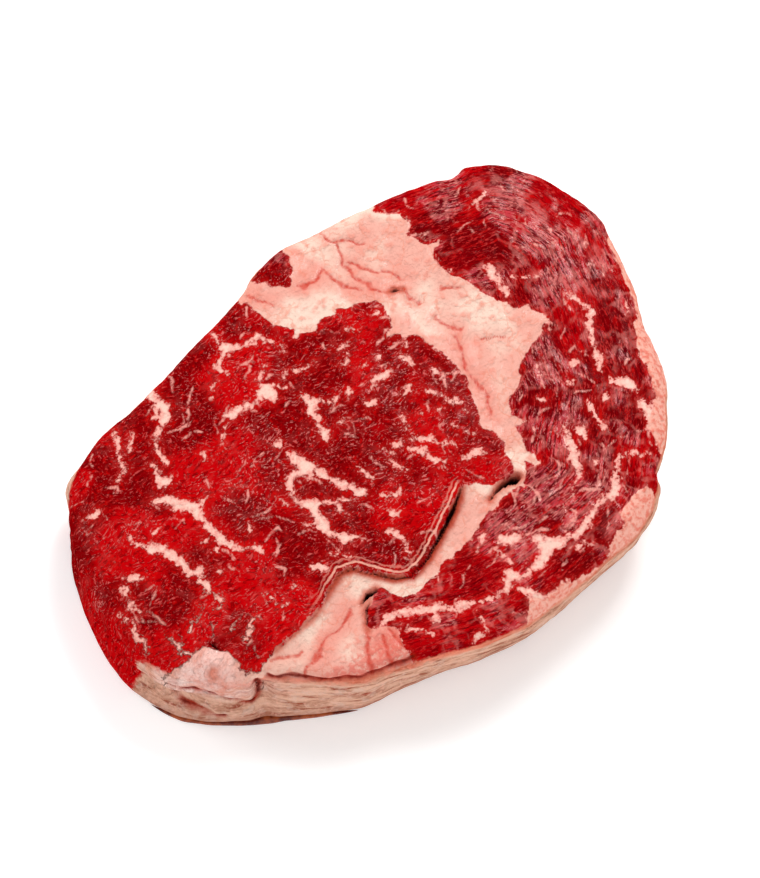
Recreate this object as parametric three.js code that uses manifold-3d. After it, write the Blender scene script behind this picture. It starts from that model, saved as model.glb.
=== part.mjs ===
// A raw boneless ribeye steak: one thick slice of beef that lies on its lower cut face.
// The wide eye muscle is on the left, the cap muscle curls round it on the right and below, and a broad
// seam of fat runs between them. Millimetres, +Z up. The origin is under the middle of the slice.
import * as THREE from "three";
import { mergeVertices } from "three/addons/utils/BufferGeometryUtils.js";
import Module from "manifold-3d";

// Driving dimensions
const THICKNESS = 25; // from the board to the general level of the upper cut face
const FOOT = 2; // rounding where the wall meets the lower cut face
const SQUARES = 40; // squares along each side of the two cut faces
const WALL_ROWS = 9; // rows of faces down the wall

// The widest line of the slice, seen from above, counter-clockwise from the lower right. The slice is
// drawn from a point inside the eye muscle. Each station is x, y, how far the upper edge rounds over, and
// how far the wall tucks in by the time it meets the board, below zero where it spreads out.
const STATIONS = [
  [58.5, -41, 6, 3.5],
  [63.5, -35, 6, 3.5],
  [66.5, -27.5, 6, 3],
  [69.3, -20, 6, 3],
  [72.8, -13, 5.5, 3],
  [75.3, -5, 5, 3],
  [77.2, 1.5, 5, 3],
  [79.4, 8, 5, 3],
  [78.5, 16, 5, 3],
  [76.3, 25, 5, 3],
  [72.8, 32, 5, 3],
  [67.8, 37.8, 4.5, 3],
  [62, 41.4, 4, 2],
  [57, 41.9, 4, 2],
  [51, 44.4, 4, 2],
  [42, 46.9, 4, 2],
  [31, 49.5, 4.5, 2],
  [20, 51.4, 4.5, 2],
  [9.5, 53, 4, 2],
  [0, 51.3, 4, 2],
  [-6, 48.8, 4, 2],
  [-15, 46.9, 4, 2],
  [-26, 45, 4, 2],
  [-36, 42.7, 4, 2],
  [-48, 41.3, 4.5, 1],
  [-58, 40.3, 5, 0.5],
  [-68.2, 36, 6.5, 0],
  [-75, 28.3, 8, -1],
  [-79.8, 19, 9.5, -1.5],
  [-82.8, 8.8, 10, -2],
  [-84.3, -2, 9, -2.5],
  [-83.2, -10.5, 7, -3],
  [-78.7, -20.8, 6, -3.5],
  [-69.8, -30, 5.5, -3],
  [-61, -36.6, 4.5, -2.5],
  [-55.3, -41.7, 4.5, -1.5],
  [-46, -48.9, 4.5, 0],
  [-36, -52.8, 5, 1.2],
  [-27, -56.4, 4, 2.5],
  [-18, -60.2, 4, 3],
  [-8, -63, 5, 3],
  [2, -63.6, 5.5, 3],
  [14, -63.2, 5.5, 3.5],
  [27, -62.6, 5.5, 3.5],
  [36, -60.4, 5.5, 3.5],
  [42, -56.4, 5, 3.5],
  [46.5, -51.9, 5, 3.5],
  [52.5, -47.4, 5.5, 3.5],
];

// The middle of the fat seam, from the upper edge round the eye muscle to the lower left edge
const SEAM = [[15, 46], [28, 32], [31, 15], [32, 0], [24, -14], [20, -28], [8, -34], [-10, -36.5],
  [-22, -39], [-34, -31], [-46, -34], [-62, -36]];
const SEAM_HALF_WIDTH = 6;
const SEAM_SINK = 0.9; // the fat lies a little below the muscles

// The lower edge of the eye muscle, which has pulled off the seam and stands proud of it
const EYE_EDGE = [[-57, -31], [-50, -30.4], [-44, -29.9], [-38, -27.3], [-33, -25.4], [-29.8, -26.6],
  [-26.8, -30.4], [-23.5, -34.7], [-20, -36.7], [-15, -35.8], [-8, -33], [-2, -30.2], [4.2, -26.6]];
const EYE_LIP = 1.3; // how far that edge stands up
const EYE_LIP_REACH = 5; // how far back from the edge the lip fades out

// Round swellings of the two muscles: x, y, reach along x, reach along y, height
const SWELLINGS = [[-38, 6, 34, 26, 1.5], [2, 8, 22, 20, 0.9], [57, 12, 16, 26, 0.8], [36, -34, 26, 16, 0.7],
  [-10, -50, 18, 9, 0.6], [-71, -26, 6, 6, 1.6]];

// Clefts in the upper face: a middle line with the width at each point, the depth, and how far the
// bottom leans to the left of the line's direction
const EYE_CLEFT = {
  line: EYE_EDGE,
  widths: [0.5, 0.8, 0.8, 1, 1.3, 1.2, 1, 0.9, 0.9, 1.5, 2.2, 2.4, 0.8],
  depth: 4.5,
  lean: 1.2,
};
const TIP_SPLIT = {
  line: [[7.2, -33.4], [10, -32.4], [13, -32.2], [15.3, -32.8], [16.4, -33]],
  widths: [0.4, 1, 1.9, 3.2, 2.4],
  depth: 12,
  lean: 0.8,
};
const FOLD_SPLIT = {
  line: [[-37.4, -41.2], [-34.8, -38], [-32.9, -35.8], [-31.2, -34.2], [-28.6, -34]],
  widths: [0.4, 1.5, 1.7, 1.4, 0.9],
  depth: 8,
  lean: 0.5,
};
const FAT_SLIT = { line: [[23.4, 25.4], [25, 25.1], [26.8, 23.9]], widths: [0.3, 1, 0.3], depth: 4, lean: 0 };
const FAT_NICK = { line: [[-68.6, -19.2], [-68, -21], [-67.4, -23.4]], widths: [0.4, 1, 0.5], depth: 4, lean: 0 };
const CLEFTS = [EYE_CLEFT, TIP_SPLIT, FOLD_SPLIT, FAT_SLIT, FAT_NICK];
const CLEFT_STEPS = 5; // steps between two points of a cleft's line
const ABOVE_FACE = 4; // how far a cutter sticks out above the general level

// Folds in the wall. Each is centred on a point of the outline, and has its height above the board, its
// reach along the outline, its reach up the wall, and how far it stands out, or in if negative.
const FOLDS = [
  { at: [-82, -15], height: 9, along: 15, up: 2.4, out: -3.5 },
  { at: [-79, -17], height: 16.5, along: 9, up: 4, out: 1 },
  { at: [-71.5, -28.5], height: 19, along: 6, up: 4, out: 1.4 },
  { at: [-73, -27], height: 6, along: 8, up: 3.5, out: 1.6 },
  { at: [-64, -34.5], height: 12, along: 2.2, up: 9, out: -2.2 },
  { at: [-67, 36.5], height: 12, along: 5, up: 5, out: 2.4 },
  { at: [56.5, 41.4], height: 13, along: 3, up: 12, out: -1.2 },
  { at: [40, -57], height: 16, along: 6, up: 5, out: 0.8 },
  { at: [45, -53], height: 14, along: 2.5, up: 10, out: -1 },
  { at: [0, -63.5], height: 11, along: 30, up: 2, out: -0.9 },
  { at: [62, -37], height: 13, along: 20, up: 2, out: -0.9 },
];
const RIPPLES = [[9, 0.22], [17, 0.18], [29, 0.12]]; // waves round the wall, and their height

const MEAT = new THREE.MeshStandardMaterial({ color: 0xa3262a, roughness: 0.4, metalness: 0 });

// The outline and, at the same stations, the rounding and tuck of the wall
function closedCurve(points) {
  const curve = new THREE.CatmullRomCurve3(points, true, "catmullrom", 0.5);
  curve.arcLengthDivisions = 1200;
  return curve;
}
const outline = closedCurve(STATIONS.map(([x, y]) => new THREE.Vector3(x, y, 0)));
const wallShape = closedCurve(STATIONS.map(([, , rounding, tuck]) => new THREE.Vector3(rounding, tuck, 0)));
const extent = new THREE.Box3().setFromPoints(outline.getPoints(STATIONS.length * 20));
const middle = extent.getCenter(new THREE.Vector3());

// How far (x, y) is from a line of points, and on which side: above zero is left of its direction
function fromLine(x, y, line) {
  let nearest = { distance: Infinity, side: 1 };
  for (let i = 0; i + 1 < line.length; i++) {
    const [ax, ay] = line[i];
    const [dx, dy] = [line[i + 1][0] - ax, line[i + 1][1] - ay];
    const share = THREE.MathUtils.clamp(((x - ax) * dx + (y - ay) * dy) / (dx * dx + dy * dy), 0, 1);
    const distance = Math.hypot(x - ax - share * dx, y - ay - share * dy);
    if (distance < nearest.distance) nearest = { distance, side: Math.sign(dx * (y - ay) - dy * (x - ax)) };
  }
  return nearest;
}

const bell = (distance, reach) => Math.exp(-((distance / reach) ** 2));

// Height of the upper cut face at (x, y)
function upperFace(x, y) {
  let z = THICKNESS;
  for (const [cx, cy, reachX, reachY, height] of SWELLINGS) {
    z += height * bell(Math.hypot((x - cx) / reachX, (y - cy) / reachY), 1);
  }
  z -= SEAM_SINK * bell(fromLine(x, y, SEAM).distance, SEAM_HALF_WIDTH);
  const edge = fromLine(x, y, EYE_EDGE);
  if (edge.side > 0) z += EYE_LIP * bell(edge.distance, EYE_LIP_REACH);
  return z;
}

// A place on the rim of a square, as a share of the way round it from its lower right corner
function roundSquare(a, b, size) {
  if (size === 0) return 0;
  if (a === size) return (1 + b / size) / 8;
  if (b === size) return (3 - a / size) / 8;
  if (a === -size) return (5 - b / size) / 8;
  return (7 + a / size) / 8;
}

// How far in from the widest line the wall is, and how high, at a share of the way down it
function wallSection(down, rounding, tuck, faceHeight) {
  const SHOULDER_SHARE = 0.45;
  const FOOT_SHARE = 0.8;
  const shoulderHeight = rounding * 1.15;
  const top = faceHeight - shoulderHeight;
  if (down < SHOULDER_SHARE) {
    const turn = (down / SHOULDER_SHARE) * (Math.PI / 2);
    return { inset: rounding * (1 - Math.sin(turn)), height: top + shoulderHeight * Math.cos(turn) };
  }
  if (down < FOOT_SHARE) {
    const share = (down - SHOULDER_SHARE) / (FOOT_SHARE - SHOULDER_SHARE);
    return { inset: tuck * share * share, height: THREE.MathUtils.lerp(top, FOOT, share) };
  }
  const turn = ((down - FOOT_SHARE) / (1 - FOOT_SHARE)) * (Math.PI / 2);
  return { inset: tuck + FOOT * (1 - Math.cos(turn)), height: FOOT * (1 - Math.sin(turn)) };
}

// How far folds and ripples push the wall out at a place on the outline and a height
function wallRelief(place, share, height) {
  let out = 0;
  for (const fold of FOLDS) {
    const distance = Math.hypot(place.x - fold.at[0], place.y - fold.at[1]);
    out += fold.out * bell(distance, fold.along) * bell(height - fold.height, fold.up);
  }
  const belly = bell(height - THICKNESS / 2, THICKNESS / 3);
  for (const [waves, size] of RIPPLES) out += size * belly * Math.sin(2 * Math.PI * waves * share + waves);
  return out;
}

// A fine box pressed into the slice: its top and bottom become the cut faces, and its sides the wall
function sliceGeometry() {
  const geometry = new THREE.BoxGeometry(2, 2, 2, SQUARES, SQUARES, WALL_ROWS);
  const position = geometry.getAttribute("position");
  for (let i = 0; i < position.count; i++) {
    const [a, b, c] = [0, 1, 2].map((axis) => Number(position.getComponent(i, axis).toFixed(6)));
    const size = Math.max(Math.abs(a), Math.abs(b));
    const share = roundSquare(a, b, size) % 1;
    const turn = outline.getUtoTmapping(share);
    const place = outline.getPoint(turn);
    const tangent = outline.getTangent(turn);
    const outward = new THREE.Vector3(tangent.y, -tangent.x, 0);
    const { x: rounding, y: tuck } = wallShape.getPoint(turn);
    const brink = place.clone().addScaledVector(outward, -rounding);
    const faceHeight = upperFace(brink.x, brink.y);
    const down = c === 1 ? 0 : c === -1 ? 1 : (1 - c) / 2;
    const { inset, height } = wallSection(down, rounding, tuck, faceHeight);
    const relief = c === 1 || c === -1 ? 0 : wallRelief(place, share, height);
    const rim = place.clone().addScaledVector(outward, relief - inset);
    const point = middle.clone().lerp(rim, size);
    const z = c === 1 ? upperFace(point.x, point.y) : c === -1 ? 0 : height;
    position.setXYZ(i, point.x, point.y, z);
  }
  return geometry;
}

// A V-shaped cutter: a three-sided cylinder laid along the cleft's line with one edge pointing down
function cleftGeometry({ line, widths, depth, lean }) {
  const steps = (line.length - 1) * CLEFT_STEPS;
  const path = new THREE.CatmullRomCurve3(line.map(([x, y]) => new THREE.Vector3(x, y, 0)));
  const widthAlong = new THREE.CatmullRomCurve3(widths.map((width) => new THREE.Vector3(width, 0, 0)));
  const geometry = new THREE.CylinderGeometry(1, 1, 1, 3, steps);
  const position = geometry.getAttribute("position");
  const FLAT_SIDE = -0.5; // where the side away from the downward edge lies
  const CORNER = Math.sqrt(3) / 2;
  for (let i = 0; i < position.count; i++) {
    const share = THREE.MathUtils.clamp(position.getY(i) + 0.5, 0, 1);
    const place = path.getPoint(share);
    const tangent = path.getTangent(share);
    const across = new THREE.Vector3(-tangent.y, tangent.x, 0);
    const downward = (position.getZ(i) - FLAT_SIDE) / (1 - FLAT_SIDE);
    const width = Math.max(widthAlong.getPoint(share).x, 0.2);
    const wider = 1 + ABOVE_FACE / depth; // so that the cleft has its width at the level of the face
    const sideways = (position.getX(i) / CORNER) * (width / 2) * wider + lean * downward;
    place.addScaledVector(across, sideways);
    const z = THREE.MathUtils.lerp(THICKNESS + ABOVE_FACE, THICKNESS - depth, downward);
    position.setXYZ(i, place.x, place.y, z);
  }
  return geometry;
}

const wasm = await Module();
wasm.setup();

function toSolid(geometry) {
  const bare = geometry.clone();
  bare.deleteAttribute("normal");
  bare.deleteAttribute("uv");
  const merged = mergeVertices(bare, 1e-3);
  const mesh = { numProp: 3, vertProperties: merged.attributes.position.array, triVerts: merged.index.array };
  return new wasm.Manifold(new wasm.Mesh({ ...mesh, triVerts: new Uint32Array(mesh.triVerts) }));
}

function toGeometry(solid) {
  const mesh = solid.getMesh();
  const geometry = new THREE.BufferGeometry();
  geometry.setAttribute("position", new THREE.BufferAttribute(mesh.vertProperties, 3));
  geometry.setIndex(new THREE.BufferAttribute(mesh.triVerts, 1));
  geometry.computeVertexNormals();
  return geometry;
}

// The slice with its clefts cut, moved so that its origin is under the middle of its box
function steakGeometry() {
  let solid = toSolid(sliceGeometry());
  for (const cleft of CLEFTS) solid = solid.subtract(toSolid(cleftGeometry(cleft)));
  const geometry = toGeometry(solid);
  geometry.computeBoundingBox();
  const centre = geometry.boundingBox.getCenter(new THREE.Vector3());
  return geometry.translate(-centre.x, -centre.y, -geometry.boundingBox.min.z);
}

const steak = new THREE.Group();
const meat = new THREE.Mesh(steakGeometry(), MEAT);
meat.name = "ribeye_steak";
steak.add(meat);

export default steak;
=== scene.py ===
# %% [markdown]
# A raw boneless ribeye steak, lying on its lower cut face. It is one thick slice of two muscles: the
# wide eye on the left and the cap, which curls round it on the right and below. A broad seam of fat
# lies between them, more fat lines the outer edge, and fine veins of fat run through the lean.
#
# The CAD solid gives the size and the main form. This script lays a much finer skin over the same form
# and colours it with procedural materials. Everything is worked out in millimetres on a drawing of the
# slice seen from above, and turned into metres in the CAD's frame at the very end.

# %% Load the CAD model as a fixed frame
import math

import bpy
import numpy as np
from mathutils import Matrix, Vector


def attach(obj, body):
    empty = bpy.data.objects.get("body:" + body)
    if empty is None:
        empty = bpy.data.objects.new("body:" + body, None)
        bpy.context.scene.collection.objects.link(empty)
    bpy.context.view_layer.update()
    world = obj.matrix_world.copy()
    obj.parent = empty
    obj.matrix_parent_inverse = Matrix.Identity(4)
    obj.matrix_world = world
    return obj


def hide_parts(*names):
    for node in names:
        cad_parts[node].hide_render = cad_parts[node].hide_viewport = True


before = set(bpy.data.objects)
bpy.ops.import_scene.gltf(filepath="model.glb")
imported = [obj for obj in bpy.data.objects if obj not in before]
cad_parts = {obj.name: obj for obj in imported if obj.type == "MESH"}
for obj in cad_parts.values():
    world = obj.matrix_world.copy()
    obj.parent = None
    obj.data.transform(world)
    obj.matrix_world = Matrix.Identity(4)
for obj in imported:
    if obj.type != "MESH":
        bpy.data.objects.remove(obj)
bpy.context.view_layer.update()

MM = 0.001
NODE = "ribeye_steak"

# %% [markdown]
# The outline of the slice has soft corners and shallow waves, so it is drawn as a few dozen stations
# joined by a smooth closed curve that passes through each of them. Two more values travel along with
# each station: how far the upper edge rounds over, and how far the wall tucks in below,
# or spreads out where the value is below zero.
# A steak's edge is never the same all the way round, and this keeps that in one short list.

# %% The stations of the outline: x, y, rounding of the upper edge, tuck of the wall, all in mm
THICKNESS = 25.0
FOOT = 2.0
STATIONS = np.array([
    (58.5, -41, 6, 3.5), (63.5, -35, 6, 3.5), (66.5, -27.5, 6, 3), (69.3, -20, 6, 3),
    (72.8, -13, 5.5, 3), (75.3, -5, 5, 3), (77.2, 1.5, 5, 3), (79.4, 8, 5, 3), (78.5, 16, 5, 3),
    (76.3, 25, 5, 3), (72.8, 32, 5, 3), (67.8, 37.8, 4.5, 3), (62, 41.4, 4, 2), (57, 41.9, 4, 2),
    (51, 44.4, 4, 2), (42, 46.9, 4, 2), (31, 49.5, 4.5, 2), (20, 51.4, 4.5, 2), (9.5, 53, 4, 2),
    (0, 51.3, 4, 2), (-6, 48.8, 4, 2), (-15, 46.9, 4, 2), (-26, 45, 4, 2), (-36, 42.7, 4, 2),
    (-48, 41.3, 4.5, 1), (-58, 40.3, 5, 0.5), (-68.2, 36, 6.5, 0), (-75, 28.3, 8, -1),
    (-79.8, 19, 9.5, -1.5), (-82.8, 8.8, 10, -2), (-84.3, -2, 9, -2.5), (-83.2, -10.5, 7, -3),
    (-78.7, -20.8, 6, -3.5), (-69.8, -30, 5.5, -3), (-61, -36.6, 4.5, -2.5), (-55.3, -41.7, 4.5, -1.5),
    (-46, -48.9, 4.5, 0), (-36, -52.8, 5, 1.2), (-27, -56.4, 4, 2.5), (-18, -60.2, 4, 3),
    (-8, -63, 5, 3), (2, -63.6, 5.5, 3), (14, -63.2, 5.5, 3.5), (27, -62.6, 5.5, 3.5),
    (36, -60.4, 5.5, 3.5), (42, -56.4, 5, 3.5), (46.5, -51.9, 5, 3.5), (52.5, -47.4, 5.5, 3.5),
])

def closed_curve(stations, turns):
    """A Catmull-Rom curve through the stations: between two of them, a cubic whose slope at each end
    is half the step between that station's two neighbours. turns counts stations along the curve."""
    count = len(stations)
    first = np.floor(turns).astype(int)
    t = (turns - first)[:, None]
    before, here, there, after = (stations[(first + shift) % count] for shift in (-1, 0, 1, 2))
    return 0.5 * (2 * here + (there - before) * t + (2 * before - 5 * here + 4 * there - after) * t ** 2
                  + (3 * here - before - 3 * there + after) * t ** 3)

FINE_STEPS = 9600
fine_turns = np.linspace(0, len(STATIONS), FINE_STEPS + 1)
fine_points = closed_curve(STATIONS, fine_turns)
fine_steps = np.linalg.norm(np.diff(fine_points[:, :2], axis=0), axis=1)
fine_lengths = np.concatenate([[0], np.cumsum(fine_steps)])
PERIMETER = fine_lengths[-1]
MIDDLE = (fine_points[:, :2].max(axis=0) + fine_points[:, :2].min(axis=0)) / 2
SHORT_WAY = 0.01

def rim_at(share):
    """Station values and outward direction at a share of the way round, even in length. The curve
    runs from a short way behind the point to a short way ahead, and outward is square to that."""
    turns = np.interp(share % 1.0, fine_lengths / PERIMETER, fine_turns)
    place = closed_curve(STATIONS, turns)
    behind, beyond = (closed_curve(STATIONS, turns + way)[:, :2] for way in (-SHORT_WAY, SHORT_WAY))
    ahead = beyond - behind
    tangent = ahead / np.linalg.norm(ahead, axis=1, keepdims=True)
    return place, np.stack([tangent[:, 1], -tangent[:, 0]], axis=1)

print(f"outline {PERIMETER:.0f} mm round, middle at {MIDDLE.round(1)}")

# %% [markdown]
# Nothing in meat is straight or even, so the script needs smooth random numbers in numpy too. Gradient
# noise is the usual choice: each corner of a grid gets a random direction, and the value between the
# corners blends how far the point lies along each of them. Layers of it at finer and finer scales give
# the wandering edges of the fat and the small hollows of the surface.

# %% Smooth noise in numpy
HASH_FACTORS = np.array([374761393, 668265263, 2147483647])
SEED_FACTOR = 974711
SCRAMBLE_FACTOR = 1274126177
LOW_BITS = 0xFFFF
NOISE_GAIN = 1.6
PLAN_LEVEL = 3.7

def corner_direction(cell, seed):
    """A unit vector for each whole-numbered grid corner, mixed from its coordinates and the seed."""
    mixed = (cell * HASH_FACTORS).sum(axis=1) + seed * SEED_FACTOR
    mixed = (mixed ^ (mixed >> 13)) * SCRAMBLE_FACTOR
    mixed = mixed ^ (mixed >> 16)
    turn = (mixed & LOW_BITS) / LOW_BITS * 2 * np.pi
    lift = ((mixed >> 16) & LOW_BITS) / LOW_BITS * 2 - 1
    level = np.sqrt(1 - lift ** 2)
    return np.stack([level * np.cos(turn), level * np.sin(turn), lift], axis=1)

def noise(points, cell_size, seed, layers=1):
    """Gradient noise from about -1 to 1: dot products with the corner directions, blended with
    6t^5 - 15t^4 + 10t^3, and added up over layers of half the size and half the height."""
    total = np.zeros(len(points))
    for layer in range(layers):
        scaled = points * (2 ** layer / cell_size)
        cell = np.floor(scaled).astype(np.int64)
        inside = scaled - cell
        blend = inside ** 3 * (inside * (inside * 6 - 15) + 10)
        for corner in np.ndindex(2, 2, 2):
            corner = np.array(corner)
            pull = (corner_direction(cell + corner, seed + layer) * (inside - corner)).sum(axis=1)
            weight = np.where(corner == 1, blend, 1 - blend).prod(axis=1)
            total += pull * weight * NOISE_GAIN / 2 ** layer
    return total

def flat_noise(points, cell_size, seed, layers=1):
    """Noise over the plan, as a level slice through the solid noise."""
    return noise(np.column_stack([points, np.full(len(points), PLAN_LEVEL)]), cell_size, seed, layers)

def wander(points, cell_size, reach, seed):
    """The points, each moved by up to reach in a smooth random direction, so that lines waver."""
    shift = [flat_noise(points, cell_size, seed + extra, 2) for extra in (0, 50)]
    return points + reach * np.column_stack(shift)

# %% Steps and bells
def smooth_step(value, low, high):
    """0 below low, 1 above high and 3t^2 - 2t^3 between, so it starts and ends level."""
    t = np.clip((value - low) / (high - low), 0, 1)
    return t * t * (3 - 2 * t)

def bell(distance, reach):
    """exp(-(distance / reach)^2): 1 at the middle and near 0 past two reaches."""
    return np.exp(-(distance / reach) ** 2)

def spot(points, x, y, reach):
    """A bell of the distance from x, y on the drawing."""
    return bell(np.hypot(points[:, 0] - x, points[:, 1] - y), reach)

# %% Cells like those between bundles of muscle
FAR_OFF = 9.0
CENTRE_JITTER = 0.45

def cell_edges(points, cell_size, seed):
    """Half the difference between the distances to the nearest and the second nearest of scattered
    centres, one in each square of a grid. It is zero on the borders between the cells."""
    scaled = points / cell_size
    square = np.floor(scaled).astype(np.int64)
    nearest = np.full(len(points), FAR_OFF)
    second = np.full(len(points), FAR_OFF)
    for shift in np.ndindex(3, 3):
        neighbour = square + np.array(shift) - 1
        corner = np.column_stack([neighbour, np.zeros(len(points), np.int64)])
        jitter = corner_direction(corner, seed)[:, :2]
        distance = np.linalg.norm(scaled - neighbour - 0.5 - CENTRE_JITTER * jitter, axis=1)
        second = np.minimum(second, np.maximum(nearest, distance))
        nearest = np.minimum(nearest, distance)
    return (second - nearest) / 2 * cell_size

# %% [markdown]
# The map of the slice is drawn the way an anatomist would sketch it. Bulk fat is a few closed regions.
# A vein of fat is a line of points, each with its own width. Both are turned into one number per point
# of the surface: the distance to the nearest edge of fat, below zero inside it. The material later cuts
# that number off at zero with a little noise on top, which gives edges much crisper than the mesh.

# %% Distances to lines and regions
VEIN_WIDTH = 0.7
VERY_FAR = 1e9

def line_distance(points, line, default_width=VEIN_WIDTH):
    """For each point, the least of (distance to a segment of the line - half the width there), the
    plain distance, and the side, above zero to the left. The width runs evenly between the ends."""
    best = np.full(len(points), VERY_FAR)
    plain = best.copy()
    side = np.ones(len(points))
    full = [tuple(p) if len(p) == 3 else (*p, default_width) for p in line]
    for start, end in zip(full[:-1], full[1:]):
        step = np.array([end[0] - start[0], end[1] - start[1]])
        reach = points - np.array(start[:2])
        share = np.clip(reach @ step / (step @ step), 0, 1)
        gap = reach - share[:, None] * step
        distance = np.sqrt((gap ** 2).sum(axis=1))
        side = np.where(distance < plain, np.sign(step[0] * reach[:, 1] - step[1] * reach[:, 0]), side)
        best = np.minimum(best, distance - (start[2] + (end[2] - start[2]) * share) / 2)
        plain = np.minimum(plain, distance)
    return best, plain, side

def lines_distance(points, lines, default_width=VEIN_WIDTH):
    """The least of the distances to the edges of several lines."""
    return np.min([line_distance(points, line, default_width)[0] for line in lines], axis=0)

def region_distance(points, corners):
    """Distance to the edge of a closed region, below zero inside. A point is inside if a level ray
    from it crosses the edge an odd number of times."""
    corners = np.array(corners, float)
    distance = line_distance(points, [(*corner, 0.0) for corner in [*corners, corners[0]]])[1]
    crossings = np.zeros(len(points), int)
    for (ax, ay), (bx, by) in zip(corners, np.roll(corners, -1, axis=0)):
        straddles = (ay > points[:, 1]) != (by > points[:, 1])
        at = ax + (points[:, 1] - ay) / (by - ay if by != ay else 1e-9) * (bx - ax)
        crossings += straddles & (points[:, 0] < at)
    return np.where(crossings % 2 == 1, -distance, distance)

# %% [markdown]
# The broad seam of fat starts wide at the upper edge, narrows round the eye muscle's corner to a band
# of 5 or 6 mm, and opens out again at the lower left edge, where a rounded lump of fat hangs over. The
# outer edge is lined with fat on the right and below. Each region runs past the outline where it meets
# the edge, so that no sliver of lean is left between them.

# %% The regions of bulk fat, in mm on the drawing
SEAM_FAT = [
    (-9, 58), (-7, 46.3), (-6, 45), (-5.2, 40), (-5, 36), (-3, 34), (-0.8, 31.8), (-3, 30.2), (-1, 29.7),
    (2.5, 28.5), (5, 30), (9, 29.5), (12, 28.5), (17, 27), (19, 25.3), (19.8, 23), (19.6, 21), (18.5, 18.5),
    (17.5, 17.2), (15.3, 17), (15, 15.8), (16.5, 15), (19, 13.5), (21, 11.5), (22.7, 7), (23.7, 1),
    (23, -6), (22, -9), (18.7, -16), (18, -18), (19.5, -19.5), (19.5, -24), (18, -28), (16.8, -31.6),
    (13, -31.2), (10.5, -31.4), (9.5, -30), (7.5, -28.3), (5, -27), (3, -26.5), (0, -29), (-4, -31),
    (-8, -33), (-13, -35.5), (-17, -37), (-20, -37.5), (-21, -36), (-23, -34.5), (-25, -32), (-27, -29.5),
    (-29, -27.5), (-31, -25.7), (-35, -25.7), (-38, -27.5), (-42, -29.5), (-50, -30.3), (-59, -31.3),
    (-63, -32.3), (-66.5, -31), (-66.5, -28), (-66, -24), (-68, -23), (-70, -19.5), (-75, -20.5),
    (-79, -19), (-95, -15), (-95, -60), (-33, -75), (-33, -54), (-32.5, -48), (-32, -44), (-34, -42.2),
    (-36.5, -40.5), (-35, -38), (-33.5, -36.3), (-32.3, -36), (-29, -34), (-27.2, -35), (-26, -38.5),
    (-24, -40.5), (-21, -41.2), (-15, -40), (-10, -39), (-3, -38.5), (2, -36.2), (5, -36.5), (9, -35.3),
    (14.8, -35.5), (16, -36.7), (19.5, -33), (20, -31), (22.5, -34.3), (23.3, -27), (24.5, -22),
    (28, -23.5), (26, -19.5), (26.5, -18), (30, -15), (35, -13), (35, -11.5), (39, -9), (45, -7.5),
    (49.5, -5.5), (48, 0.5), (45.5, 1.5), (43.3, 6), (41.2, 10.5), (40.5, 15.5), (38.8, 19.5), (37.8, 24),
    (38.3, 26), (40, 27.5), (43, 28), (39.5, 29), (38, 31.5), (37, 35), (40, 37.5), (39, 41), (37, 42.5),
    (34, 45), (36, 46.5), (38, 58),
]
RIGHT_RIM_FAT = [
    (95, 12), (76.5, 3), (74.3, -2), (72.8, -7), (71.5, -9), (70.2, -13), (69, -17.5), (65, -20), (63, -24),
    (60.7, -27), (60.3, -31), (58, -35), (56, -38.5), (50, -43), (49, -47.5), (48, -50), (60, -62),
    (95, -40),
]
LOWER_RIM_FAT = [
    (42, -75), (40, -57.5), (39.5, -55), (36, -54.7), (32, -55.5), (29.5, -56), (28, -59), (24, -60),
    (19, -62.5), (14, -62.5), (10, -61.5), (1.5, -61), (-2, -60), (-7, -64), (-15, -63.5), (-20, -62.5),
    (-25, -60), (-29, -58), (-31, -56), (-33, -54), (-36, -75),
]
TOP_MUSCLE = [
    (-1.2, 60), (-1.2, 48.5), (2, 45), (5, 42), (7, 43.5), (8.5, 45.5), (9.5, 47.5), (10, 50), (10.5, 60),
]
print(len(SEAM_FAT), "corners round the seam")
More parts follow.
